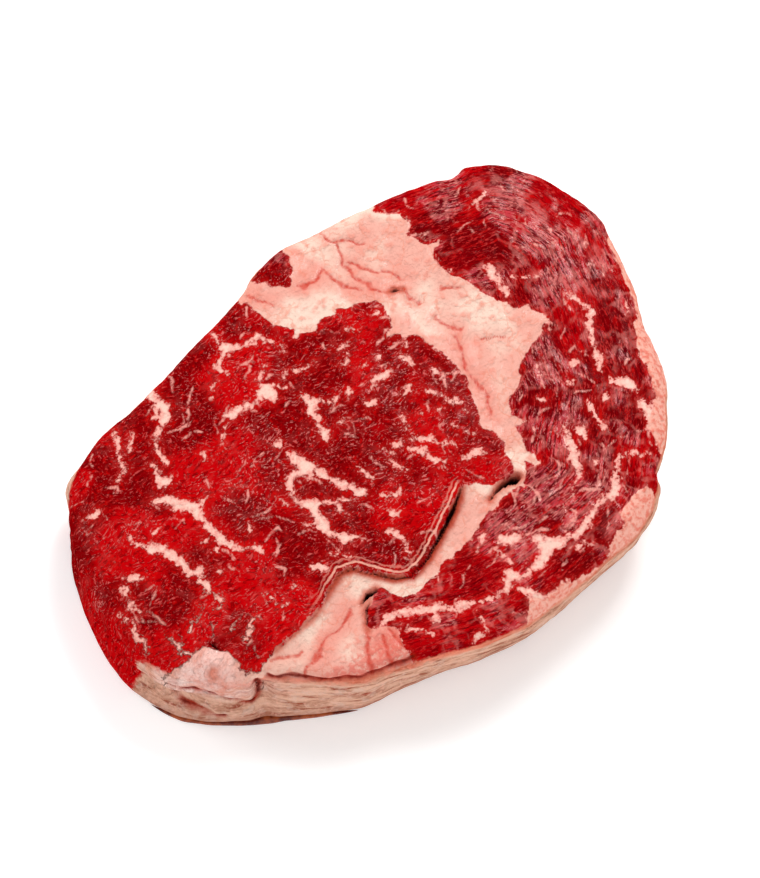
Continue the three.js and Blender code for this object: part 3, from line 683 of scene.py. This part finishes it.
def cleft_depth(points):
    """For each cleft, its depth times the square root of how far in from its edge the point is, so
    the sides are steep and the bottom is round. Narrow stretches are shallower in proportion, and
    where clefts meet, the deeper one counts."""
    depth = np.zeros(len(points))
    for line, deepest in CLEFTS:
        edge, plain, _ = line_distance(points, line)
        half_width = np.maximum(plain - edge, 1e-6)
        inward = np.clip(-edge / half_width, 0, 1)
        depth = np.maximum(depth, deepest * np.minimum(half_width / FULL_DEPTH_AT, 1) * np.sqrt(inward))
    return depth

FIBRE_RELIEF = 0.28
LEAN_RELIEF = 0.22
FAT_RELIEF = 0.3
CREASE_RELIEF = 0.3
RELIEF_SEED = 21

def fine_relief(points, values, seed):
    """Low swellings on the lean, long ridges on the cap, soft lumps and creases on the fat."""
    lean = smooth_step(values["fat"], -0.4, 0.8)
    bulk = smooth_step(-values["bulk"], -0.5, 1.5)
    along = np.column_stack([values["inset"], points / 6])
    relief = LEAN_RELIEF * lean * flat_noise(points, 3.5, seed, 3)
    relief += FIBRE_RELIEF * lean * values["cap"] * noise(along, 1.6, seed + 3, 2)
    relief += FAT_RELIEF * bulk * flat_noise(points, 5.0, seed + 5, 3)
    relief -= CREASE_RELIEF * bulk * bell(values["crease"], CREASE_REACH)
    return relief

inner = smooth_step(top_map["inset"], 0, 3)
top_relief = fine_relief(top_plan, top_map, RELIEF_SEED) * inner
top_height = broad_height(top_plan) - cleft_depth(top_plan) + top_relief
print(f"upper face from {top_height.min():.1f} to {top_height.max():.1f} mm")

# %% [markdown]
# The wall is one strip of rows from the brink to the foot. Fresh noise along it gives the uneven pull
# of the knife and the membrane, stretched sideways because the layers of the wall lie flat.

# %% Wall points
WALL_RELIEF = 0.45
BRINK_FADE = 4
BRINK_RELIEF = 0.3
down = (np.arange(1, WALL_ROWS) / WALL_ROWS)[:, None]
inset, wall_height = wall_section(down, ring_place[:, 2], ring_place[:, 3], brink_height)
wall_shape = wall_height.shape
wall_height = wall_height.ravel()
wall_down = np.broadcast_to(down, wall_shape).ravel()
wall_share = np.broadcast_to(ring_share, wall_shape).ravel()
wall_place = np.broadcast_to(ring_place[:, :2], (*wall_shape, 2)).reshape(-1, 2)
wall_outward = np.broadcast_to(ring_outward, (*wall_shape, 2)).reshape(-1, 2)
relief = wall_relief(wall_place, wall_share, wall_height)
rough_place = np.column_stack([wall_place / 3, wall_height])
relief += WALL_RELIEF * np.sin(np.pi * wall_down) * noise(rough_place, 2.5, 31, 3)
wall_groove = wall_crease_distance(wall_share, wall_height)
relief -= WALL_CREASE_DEPTH * bell(wall_groove, WALL_CREASE_REACH)
wall_plan = wall_place + wall_outward * (relief - inset.ravel())[:, None]
wall_map = map_at(wall_plan, wall_plan, *FACE_MAP)
near_brink = BRINK_RELIEF * smooth_step(wall_height, THICKNESS - BRINK_FADE, THICKNESS)
wall_level = wall_height + fine_relief(wall_plan, wall_map, RELIEF_SEED) * near_brink
wall_points = np.column_stack([wall_plan, wall_level])
print(f"{len(wall_points)} points on the wall")

# %% [markdown]
# The underside lies flat on the board. The seam comes out nearly below where it goes in, because the
# muscles run straight through the slice, but the fine veins have changed, so the map is read there with
# the veins turned half round about the middle of the slice.

# %% Underside points
turned = 2 * MIDDLE - bottom_plan
bottom_map = map_at(bottom_plan, turned, *UNDERSIDE_MAP)
bottom_points = np.column_stack([bottom_plan, np.zeros(len(bottom_plan))])
top_points = np.column_stack([top_plan, top_height])
print(len(bottom_points), "points on the underside")

# %% Join the three parts into one closed mesh
def next_round(numbers):
    """The number after each one on a closed ring."""
    return np.roll(numbers, -1, axis=-1)

wall_start = len(top_points)
bottom_start = wall_start + len(wall_points)
wall_numbers = np.arange(wall_start, bottom_start).reshape(WALL_ROWS - 1, RING)
rings = np.vstack([rim_numbers(TOP_SQUARES)[None, :], wall_numbers])
upper_ring, lower_ring = rings[:-1], rings[1:]
wall_quads = np.stack([upper_ring, lower_ring, next_round(lower_ring), next_round(upper_ring)], axis=-1)
bottom_rim = bottom_start + rim_numbers(BOTTOM_SQUARES)
even = rings[-1][0::2]
odd = rings[-1][1::2]
foot_triangles = np.concatenate([np.stack(corners, axis=1) for corners in (
    (even, bottom_rim, odd), (odd, bottom_rim, next_round(bottom_rim)),
    (odd, next_round(bottom_rim), next_round(even)))])
quads = np.concatenate([grid_faces(TOP_SQUARES, 0, True), wall_quads.reshape(-1, 4),
                        grid_faces(BOTTOM_SQUARES, bottom_start, False)])
all_points = np.concatenate([top_points, wall_points, bottom_points])
ORIGIN = np.array([*(all_points[:, :2].max(axis=0) + all_points[:, :2].min(axis=0)) / 2, 0])
print(len(all_points), "points,", 2 * len(quads) + len(foot_triangles), "triangles")

# %% Make the slice as one object
def mesh_object(name, points_mm, faces):
    """A mesh object from points in mm on the drawing, moved so the slice's middle is at the origin."""
    mesh = bpy.data.meshes.new(name)
    moved = (points_mm - ORIGIN) * MM
    mesh.from_pydata(moved.tolist(), [], faces)
    mesh.polygons.foreach_set("use_smooth", np.ones(len(mesh.polygons), bool))
    made = bpy.data.objects.new(name, mesh)
    bpy.context.scene.collection.objects.link(made)
    return made

steak = mesh_object("steak_flesh", all_points, quads.tolist() + foot_triangles.tolist())
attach(steak, "root")
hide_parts(NODE)

# %% Store the map on the mesh, where the material can read it
LUMP = (-74, -24, 14)
LUMP_HEIGHTS = (9, 13)
FLAP = (-66, 37, 7)
LEFT_FROM = (58, 68)
BARE_FROM = (-14, -7)
MEMBRANE_FROM = (0.2, 0.5)

def store(mesh, name, values):
    """One number for each point of the mesh, under a name that an Attribute node can ask for."""
    mesh.attributes.new(name, "FLOAT", "POINT").data.foreach_set("value", np.asarray(values, np.float32))

def wall_only(values, elsewhere):
    """The wall's values, with one fixed value on both cut faces."""
    on_top, below = (np.full(len(points), elsewhere) for points in (top_points, bottom_points))
    return np.concatenate([on_top, values, below])

for name in top_map:
    store(steak.data, name, np.concatenate([top_map[name], wall_map[name], bottom_map[name]]))
store(steak.data, "wall", wall_only(smooth_step(wall_down, *MEMBRANE_FROM), 0.0))
store(steak.data, "lump", spot(all_points, *LUMP) * smooth_step(all_points[:, 2], *LUMP_HEIGHTS))
store(steak.data, "groove", wall_only(wall_groove, FAR_OFF))
left_wall = smooth_step(-all_points[:, 0], *LEFT_FROM) * smooth_step(all_points[:, 1], *BARE_FROM)
store(steak.data, "bare", left_wall * (1 - spot(all_points, *FLAP)))
print("stored", [a.name for a in steak.data.attributes if a.domain == "POINT"])

# %% [markdown]
# Shader maths reads best as a formula, so a small class wraps a socket and lets plus, minus and times
# build Math nodes. Every other node comes from one method that takes its type, its settings and what
# goes into its inputs. Colours are given as on a screen, three numbers from 0 to 255.

# %% A small language for node trees
class Wire:
    """An output socket that can be used in a formula."""
    def __init__(self, tree, socket):
        self.tree = tree
        self.socket = socket

    def __add__(self, other):
        return self.tree.maths("ADD", self, other)

    def __sub__(self, other):
        return self.tree.maths("SUBTRACT", self, other)

    def __rsub__(self, other):
        return self.tree.maths("SUBTRACT", other, self)

    def __mul__(self, other):
        return self.tree.maths("MULTIPLY", self, other)

    def __neg__(self):
        return self.tree.maths("MULTIPLY", self, -1)

    def __abs__(self):
        return self.tree.maths("ABSOLUTE", self)

    __radd__ = __add__
    __rmul__ = __mul__

def colour(red, green, blue):
    """A screen colour in the linear values that the shader works in."""
    parts = np.array([red, green, blue]) / 255
    linear = np.where(parts <= 0.04045, parts / 12.92, ((parts + 0.055) / 1.055) ** 2.4)
    return (*linear.tolist(), 1.0)

class Tree:
    """A material's node tree. node() adds a node and returns its first output, or the named one."""
    def __init__(self, name):
        self.material = bpy.data.materials.new(name)
        self.material.use_nodes = True
        self.tree = self.material.node_tree
        self.tree.nodes.clear()

    def node(self, kind, settings=None, inputs=None, output=0):
        made = self.tree.nodes.new(kind)
        for key, value in (settings or {}).items():
            setattr(made, key, value)
        for key, value in (inputs or {}).items():
            if isinstance(value, Wire):
                self.tree.links.new(value.socket, made.inputs[key])
            else:
                made.inputs[key].default_value = value
        return Wire(self, made.outputs[output])

    def maths(self, operation, *values):
        return self.node("ShaderNodeMath", {"operation": operation}, dict(enumerate(values)))

    def vector(self, operation, first, second):
        return self.node("ShaderNodeVectorMath", {"operation": operation}, {0: first, 1: second})

    def place(self):
        """Where each point of the surface is, in metres in the object's own frame."""
        return self.node("ShaderNodeTexCoord", output="Object")

    def attribute(self, name):
        """The map's value of that name."""
        return self.node("ShaderNodeAttribute", {"attribute_name": name}, output="Fac")

    def above(self, value, low, high):
        """0 below low, 1 above high, smooth between."""
        settings = {"interpolation_type": "SMOOTHSTEP", "clamp": True}
        return self.node("ShaderNodeMapRange", settings, {"Value": value, "From Min": low, "From Max": high})

    def below(self, value, low, high):
        """1 below low, 0 above high, smooth between."""
        return 1 - self.above(value, low, high)

    def noise(self, vector, per_mm, detail=3.0, roughness=0.55, output="Fac"):
        """Noise at so many lumps per mm, from 0 to 1 about 0.5."""
        inputs = {"Vector": vector, "Scale": per_mm / MM, "Detail": detail, "Roughness": roughness}
        return self.node("ShaderNodeTexNoise", {}, inputs, output)

    def mix(self, factor, first, second):
        """A colour between two colours. Three plain numbers are a screen colour."""
        first, second = (colour(*c) if isinstance(c, tuple) and len(c) == 3 else c for c in (first, second))
        settings = {"data_type": "RGBA", "blend_type": "MIX", "clamp_factor": True}
        return self.node("ShaderNodeMix", settings, {"Factor": factor, 6: first, 7: second}, 2)

    def paint(self, base, *coats):
        """The base colour under one coat after another, each a share and a colour."""
        for share, tint in coats:
            base = self.mix(share, base, tint)
        return base

    def finish(self, inputs):
        """One Principled shader as the material's surface. Gives the material."""
        shader = self.node("ShaderNodeBsdfPrincipled", {}, inputs)
        made = self.tree.nodes.new("ShaderNodeOutputMaterial")
        self.tree.links.new(shader.socket, made.inputs["Surface"])
        return self.material

# %% [markdown]
# The meat's material decides tissue by tissue. Each share comes from a noise or from a distance of the
# map, cut between two values. First come the patterns, then the lean of the eye, cut across its fibres,
# so it shows short flecks, partly pale tissue and partly painted glints. The cap's bundles run in the
# face, so it shows streaks and long dark strands, with a painted sheen in its wet patches. Fat comes
# next, in its creamy and pinker kinds, with painted shade beside the clefts, then the membrane of the
# wall, with painted shade at its foot, and at last the painted shadow down in the clefts. Moisture is
# one thin clear coat, strongest where the light glints on the lean.

# %% Coordinates that follow the grain of each muscle
EYE_GRAIN = -5
FOLD_GRAIN = 25
STREAK_STRETCH = 0.3
STRAND_STRETCH = 0.1
tree = Tree("raw_beef")
place = tree.place()
across, along, level = (tree.node("ShaderNodeSeparateXYZ", {}, {0: place}, axis) for axis in "XYZ")

def turned_place(degrees, stretch, up):
    """The place turned about the upright axis and shrunk along that heading, so that a noise read
    there is drawn out along it."""
    turn = math.radians(degrees)
    return tree.node("ShaderNodeCombineXYZ", {}, {
        "X": (across * math.cos(turn) + along * math.sin(turn)) * stretch,
        "Y": along * math.cos(turn) - across * math.sin(turn), "Z": up})

def curled_place(stretch, up):
    """A place whose first number is the distance in from the outline, and whose others hardly change,
    so that a noise read there is drawn out round the slice."""
    return tree.node("ShaderNodeCombineXYZ", {}, {
        "X": tree.attribute("inset") * MM, "Y": across * stretch, "Z": along * stretch + up})

def warped(where, per_mm, detail, reach):
    """The place moved by a smooth colour noise, so that a pattern read there wavers."""
    shift = tree.noise(place, per_mm, detail, output="Color")
    return tree.vector("ADD", where, tree.vector("MULTIPLY", shift, (reach, reach, reach)))

grain_place = warped(turned_place(EYE_GRAIN, 0.6, 0), 0.12, 2, 6 * MM)
streak_place = curled_place(STREAK_STRETCH, level * 0.3)
strand_place = curled_place(STRAND_STRETCH, 0)
fold_place = turned_place(FOLD_GRAIN, 0.35, level)

# %% The patterns that the tissues share
broad = tree.attribute("tone") * 0.5 + 0.5
patch = tree.attribute("patch") * 0.5 + 0.5
medium = tree.noise(place, 0.4, 4)
coarse = tree.noise(place, 0.8)
fine = tree.noise(tree.vector("MULTIPLY", place, (1, 1, 0.6)), 1.5)
medium_sway = medium - 0.5
coarse_sway = coarse - 0.5
fine_sway = fine - 0.5
streak = tree.noise(streak_place, 0.6, 5, 0.7)
# Short pale dashes along the grain: partly pale tissue between the bundles, partly painted glints.
eye_fleck_and_glint = tree.above(tree.noise(grain_place, 1.7, 3, 0.7), 0.55, 0.61)
eye_fleck = tree.below(tree.noise(grain_place, 0.9, 4, 0.7), 0.4, 0.46)
cap_fleck_and_glint = tree.above(tree.noise(streak_place, 2.0, 3, 0.7), 0.53, 0.6)
strand = tree.below(abs(tree.noise(strand_place, 0.7, 2, 0.6) - 0.5), 0.02, 0.07)
folds = tree.noise(fold_place, 0.25)

# %% Where each tissue is
cap = tree.attribute("cap")
lump = tree.attribute("lump")
not_rim = 1 - tree.attribute("rim")
wall = tree.above(tree.attribute("wall") * (1 - tree.attribute("bare")) + coarse_sway * 0.5, 0.3, 0.6)
ragged = medium_sway * 1.2 + coarse_sway + fine_sway
vein_edge = tree.attribute("fat") + ragged * 1.7 + (patch - 0.5) * 0.8
bulk = tree.below(tree.attribute("bulk") + ragged * 0.6, -0.2, 0.2)
vein = tree.below(vein_edge, -0.4, 0.25)
small = tree.below(tree.attribute("small") + ragged * 0.6, -0.35, 0.2) * 0.85
fat = tree.maths("MAXIMUM", bulk, tree.maths("MAXIMUM", vein, small))
halo = tree.below(vein_edge, -0.3, 2.2)
border = tree.below(tree.attribute("cells") + coarse_sway * 1.2, 0.0, 0.6)
print(len(tree.tree.nodes), "nodes for the patterns and the shares")

# %% The lean of the eye and of the cap
sheen = tree.above(patch + tree.attribute("sheen") * 0.4, 0.6, 0.82)
shiny = sheen * (0.6 + cap * 0.4)
# Painted sheen: in the cap's wet patches a pale lilac wash in the colour stands in for the glare of the
# lights, and the dark streaks fade there.
painted_sheen = sheen * tree.above(tree.noise(streak_place, 0.9, 4, 0.7), 0.46, 0.54)
light_share = tree.above(broad, 0.35, 0.65)
eye_lean = tree.paint(
    tree.mix(light_share, (130, 0, 4), (190, 2, 8)),
    (tree.above(coarse, 0.54, 0.66) * 0.5, (210, 12, 10)),
    (eye_fleck * 0.6, (92, 0, 3)))
cap_lean = tree.paint(
    tree.mix(light_share, (126, 0, 5), (176, 0, 7)),
    (tree.above(streak, 0.55, 0.6) * 0.5, (212, 16, 14)),
    (tree.below(streak, 0.41, 0.45) * (0.7 - sheen * 0.4), (92, 0, 3)),
    (painted_sheen * 0.5, (216, 82, 92)),
    (strand * (0.4 + sheen * 0.45), (88, 0, 8)))

# %% Fine marbling, pale flecks and painted glints in the lean
# Partly painted sheen: the pink patches along the cap's right edge.
pink_and_sheen = tree.below(tree.attribute("pink_and_sheen") + medium_sway * 4, -1.0, 1.5)
fleck_and_glint = eye_fleck_and_glint * (1 - cap) + cap_fleck_and_glint * cap
crowd = tree.above(tree.noise(place, 0.22), 0.4, 0.6)
crowded = crowd * (0.5 + 0.5 * tree.above(across, -50 * MM, -12 * MM))
# The dashes are partly pale tissue and partly painted glints: paler where they crowd, and paler still in the
# shiny patches.
fleck_and_glint_paleness = (0.08 + crowded * 0.36) * (1 - cap * 0.75) + shiny * 0.5
lean = tree.paint(
    tree.mix(cap, eye_lean, cap_lean),
    (halo * 0.35, (212, 30, 24)),
    (border * (0.05 + cap * 0.35) * tree.above(patch, 0.4, 0.6), (230, 128, 120)),
    (pink_and_sheen * (0.1 + 0.55 * tree.above(streak, 0.46, 0.52)), (226, 122, 118)),
    (fleck_and_glint * 0.64, tree.mix(fleck_and_glint_paleness, (206, 24, 24), (255, 168, 160))))

# %% Fat of three kinds
crease = tree.attribute("crease")
near_crease = tree.below(crease + medium_sway * 4, 0.5, 5.0)
in_crease = tree.below(crease + coarse_sway * 1.2, -0.1, 0.8) * bulk
# Painted shade: the fat beside each cleft is darkened to orange-red, where the cleft's shadow falls.
painted_cleft_shade = tree.below(tree.attribute("cleft") + coarse_sway * 0.8, 0.1, 1.6)
lip = tree.attribute("lip")
lip_share = tree.attribute("lip_share")
# Painted shade: the seam fat just below the eye muscle's lifted edge is darkened to brown-red, where the
# edge shades it.
painted_shade_under_lip = 0.8 * tree.above(lip, -2.2, -0.2) * tree.below(lip, 0.0, 0.6) * lip_share
net_gap = tree.node("ShaderNodeTexVoronoi", {"feature": "DISTANCE_TO_EDGE"},
                    {"Vector": warped(place, 0.2, 3, 8 * MM), "Scale": 0.17 / MM}, "Distance")
net = tree.below(net_gap, 0.01, 0.06) * tree.above(patch, 0.36, 0.56) * not_rim
lower_left = tree.above(-along, 34 * MM, 42 * MM) * tree.above(-across, 20 * MM, 28 * MM)
blush = 0.2 + 0.5 * tree.above(coarse + near_crease * 0.12, 0.5, 0.62)
seam_fat = tree.paint(
    tree.mix(tree.above(broad, 0.36, 0.66), (236, 170, 154), (242, 208, 190)),
    (tree.above(medium, 0.48, 0.7) * 0.7, (232, 144, 126)))
rim_fat = tree.mix(tree.above(coarse, 0.4, 0.66), (246, 178, 160), (232, 126, 108))
bulk_fat = tree.paint(
    tree.mix(tree.attribute("rim"), seam_fat, rim_fat),
    (net * 0.35, (226, 124, 96)),
    (near_crease * 0.35, (226, 122, 106)),
    (lower_left * blush, (224, 104, 90)),
    (in_crease * 0.85, (200, 52, 34)),
    (painted_cleft_shade * 0.7, (196, 66, 34)),
    (painted_shade_under_lip, (178, 54, 28)))
vein_fat = tree.mix(tree.above(vein_edge, -1.4, -0.1), (246, 200, 184), (240, 158, 146))

# %% The membrane of the wall, with painted shade at its foot, and the lump of fat above it
layers = tree.noise(tree.vector("MULTIPLY", place, (0.5, 0.5, 2.3)), 0.24, 5, 0.66)
brink = tree.above(level + medium_sway * (4 * MM), 19 * MM, 21.5 * MM)
# Painted shade: the membrane darkens towards the foot of the wall, where it meets the table.
foot_shade = tree.below(level + coarse_sway * (5 * MM), 0.5 * MM, 7 * MM)
# Painted highlights and shade: the fold pattern that bumps the lump is also painted near white on its crests
# and darker pink in its hollows.
lump_fat_lit_and_shaded = tree.paint(
    tree.mix(tree.above(folds, 0.25, 0.7), (222, 132, 112), (255, 224, 216)),
    (tree.above(fine, 0.5, 0.66) * 0.3, (214, 122, 100)))
membrane = tree.paint(
    tree.mix(tree.above(layers, 0.4, 0.62), (226, 176, 152), (178, 122, 98)),
    (tree.above(medium, 0.5, 0.62) * 0.4, (214, 184, 170)),
    (tree.above(layers, 0.56, 0.64) * 0.7, (142, 50, 34)),
    (tree.above(coarse, 0.52, 0.7) * 0.5, (240, 176, 154)),
    (brink * 0.75, (234, 124, 96)),
    (foot_shade * 0.55, (160, 96, 76)),
    (lump * 0.85, lump_fat_lit_and_shaded))

# %% Put the surface together
groove = tree.attribute("groove")
in_groove = tree.below(groove + medium_sway * 1.5, -0.1, 1.3)
# Painted shade: a dark core down the middle of each crease of the wall, where the fold is in shadow.
groove_shade = tree.below(groove + coarse_sway, -0.3, 0.5)
inner_line = tree.below(abs(lip - 2.1 - medium_sway * 2.4), 0.1, 0.35)
rim_line = tree.below(abs(lip - 1.0 - medium_sway * 1.2), 0.15, 0.4)
# Painted shadow: near-black down in the clefts, where the shadow is deepest; the clear coat is left off
# there too.
painted_cleft_shadow = tree.below(tree.attribute("cleft") + fine_sway * 0.3, -0.4, 0.05)
surface = tree.paint(
    lean,
    (fat, tree.mix(bulk, vein_fat, bulk_fat)),
    (tree.maths("MAXIMUM", wall, lump * fat), membrane),
    (in_groove * 0.9, (158, 34, 18)),
    (groove_shade * 0.7, (70, 10, 6)),
    (inner_line * lip_share * 0.55, (232, 140, 124)),
    (rim_line * lip_share * 0.9, (240, 170, 150)),
    (painted_cleft_shadow, (26, 0, 1)))

# %% Relief, moisture and the shader
cap_bump = (streak * 0.5 - strand * 0.2) * cap
lean_bump = coarse * 0.9 + fleck_and_glint * 0.12 - eye_fleck * 0.1 * (1 - cap) + cap_bump + fine * 0.3
fat_bump = medium * 1.7 + coarse * 0.4 + folds * lump * 7.0
bump_height = lean_bump * (1 - fat) + fat_bump * fat
normal = tree.node("ShaderNodeBump", {}, {"Strength": 0.9, "Distance": 0.8 * MM, "Height": bump_height})
moisture = 0.02 + shiny * 0.24 * (1 - strand * 0.9) + fat * 0.12
off_edge = tree.above(tree.attribute("inset"), 0.5, 4.0)
steak.data.materials.append(tree.finish({
    "Base Color": surface, "Roughness": 0.26 + fat * 0.2 + wall * 0.25 + medium_sway * 0.1,
    "Normal": normal, "Specular IOR Level": 0.0, "Coat Weight": moisture * (1 - painted_cleft_shadow) * off_edge,
    "Coat Roughness": 0.1, "Coat IOR": 1.4}))
print(len(tree.tree.nodes), "nodes in the meat's material")

# %% [markdown]
# A little dark juice has run out under the lower left edge. It is a low bead that follows the foot of
# the wall: a strip whose section is half an ellipse, with its inner edge hidden under the slice, and
# whose width swells and thins along its length. It is closed below by a flat strip.

# %% The bead of juice
JUICE_FROM = share_at(-83, -15)
JUICE_TO = share_at(-46, -48.5)
JUICE_STEPS = 220
JUICE_ACROSS = 8
JUICE_HEIGHT = 0.3
JUICE_OUT = 1.0
JUICE_IN = 2.5
JUICE_UNEVEN = 0.45
LEAST_WIDTH = 0.02
juice_t = np.linspace(0, 1, JUICE_STEPS)
juice_place, juice_outward = rim_at(JUICE_FROM + (JUICE_TO - JUICE_FROM) * juice_t)
foot_line = juice_place[:, :2] - juice_outward * juice_place[:, 3:4]
swell = np.sin(np.pi * juice_t) ** 0.9
uneven = 1 + JUICE_UNEVEN * flat_noise(foot_line, 7.0, 61, 2)
outer = JUICE_OUT * swell * uneven * (1.2 - 0.8 * juice_t)
turn = np.linspace(np.pi, 0, JUICE_ACROSS)[None, :]
half_width = ((outer + JUICE_IN * swell) / 2)[:, None] + LEAST_WIDTH
centre_out = ((outer - JUICE_IN * swell) / 2)[:, None]
reach = centre_out + half_width * np.cos(turn)
juice_xy = foot_line[:, None, :] + juice_outward[:, None, :] * reach[:, :, None]
juice_z = JUICE_HEIGHT * np.sin(turn) * (0.2 + 0.8 * swell[:, None])
upper = np.concatenate([juice_xy, juice_z[:, :, None]], axis=2)
lower = upper[:, 1:-1, :] * (1, 1, 0)
section = np.concatenate([upper, lower[:, ::-1, :]], axis=1)
number = np.arange(JUICE_STEPS * section.shape[1]).reshape(JUICE_STEPS, -1)
here, there = number[:-1], number[1:]
juice_quads = np.stack([here, next_round(here), next_round(there), there], axis=-1).reshape(-1, 4)
juice_ends = [number[0, ::-1].tolist(), number[-1].tolist()]
juice = mesh_object("juice", section.reshape(-1, 3), juice_quads.tolist() + juice_ends)
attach(juice, "root")
print("juice is", round(float(outer.max()), 1), "mm wide outside the slice")

# %% The juice's material
juice_tree = Tree("meat_juice")
thick = juice_tree.noise(juice_tree.place(), 0.25)
juice_colour = juice_tree.mix(juice_tree.above(thick, 0.35, 0.65), (92, 14, 4), (184, 88, 44))
juice.data.materials.append(juice_tree.finish({
    "Base Color": juice_colour, "Roughness": 0.12 + thick * 0.1,
    "Coat Weight": 0.5, "Coat Roughness": 0.05}))

# %% [markdown]
# The slice lies on a plain white table under soft studio light. A large soft key light comes from the
# upper right of the picture, so a pale grey shadow falls to the left and below. Two weaker lights and
# the sky fill the rest, and the table glows a little, so that it stays white.

# %% The table
FLOOR_HALF = 1.6
FLOOR_LEVEL = -0.0001
floor_signs = ((-1, -1), (1, -1), (1, 1), (-1, 1))
floor_corners = [(x * FLOOR_HALF, y * FLOOR_HALF, FLOOR_LEVEL) for x, y in floor_signs]
floor_mesh = bpy.data.meshes.new("floor")
floor_mesh.from_pydata(floor_corners, [], [(0, 1, 2, 3)])
floor = bpy.data.objects.new("floor", floor_mesh)
bpy.context.scene.collection.objects.link(floor)
floor_tree = Tree("white_table")
floor_noise = floor_tree.noise(floor_tree.place(), 0.01)
floor_mesh.materials.append(floor_tree.finish({
    "Base Color": floor_tree.mix(floor_noise, (0.93, 0.93, 0.93, 1), (0.95, 0.95, 0.95, 1)),
    "Roughness": 0.8, "Emission Color": (1, 1, 1, 1), "Emission Strength": 0.22}))

# %% Lights and sky
def area_light(name, place, size, power):
    """A square light that faces the middle of the slice."""
    data = bpy.data.lights.new(name, "AREA")
    data.size = size
    data.energy = power
    light = bpy.data.objects.new(name, data)
    bpy.context.scene.collection.objects.link(light)
    light.location = place
    light.rotation_mode = "QUATERNION"
    light.rotation_quaternion = (-Vector(place)).to_track_quat("-Z", "Y")

area_light("key", (0.5, 0.25, 0.72), 0.3, 4.2)
area_light("back_fill", (-0.4, 0.8, 0.6), 0.4, 3.4)
area_light("front_fill", (-0.5, -0.75, 0.6), 0.6, 2.8)
world = bpy.data.worlds.new("studio")
bpy.context.scene.world = world
world.use_nodes = True
sky = world.node_tree.nodes["Background"].inputs
sky["Color"].default_value = (1, 1, 1, 1)
sky["Strength"].default_value = 0.55

# %% [markdown]
# The camera looks down steeply with a long lens, turned so that the slice lies diagonally in the frame.

# %% Camera
TURN = math.radians(-39)
ELEVATION = math.radians(67)
DISTANCE = 0.75
AIM_HEIGHT = 12 * MM
SENSOR = 36.0
PIXELS_PER_METRE = 4000.0
LONG_SIDE = 878.0
camera_data = bpy.data.cameras.new("camera")
camera_data.sensor_width = SENSOR
camera_data.lens = PIXELS_PER_METRE * DISTANCE * SENSOR / LONG_SIDE
camera = bpy.data.objects.new("camera", camera_data)
bpy.context.scene.collection.objects.link(camera)
level_back = math.cos(ELEVATION)
back = Vector((math.sin(TURN) * level_back, -math.cos(TURN) * level_back, math.sin(ELEVATION)))
aim = Vector((-ORIGIN[0] * MM, -ORIGIN[1] * MM, AIM_HEIGHT))
camera.location = aim + back * DISTANCE
camera.rotation_mode = "QUATERNION"
camera.rotation_quaternion = (-back).to_track_quat("-Z", "Y")
bpy.context.scene.camera = camera
bpy.context.scene.view_settings.view_transform = "Standard"
print("camera at", [round(value, 3) for value in camera.location])

# %% Finish the scene
bpy.context.view_layer.update()
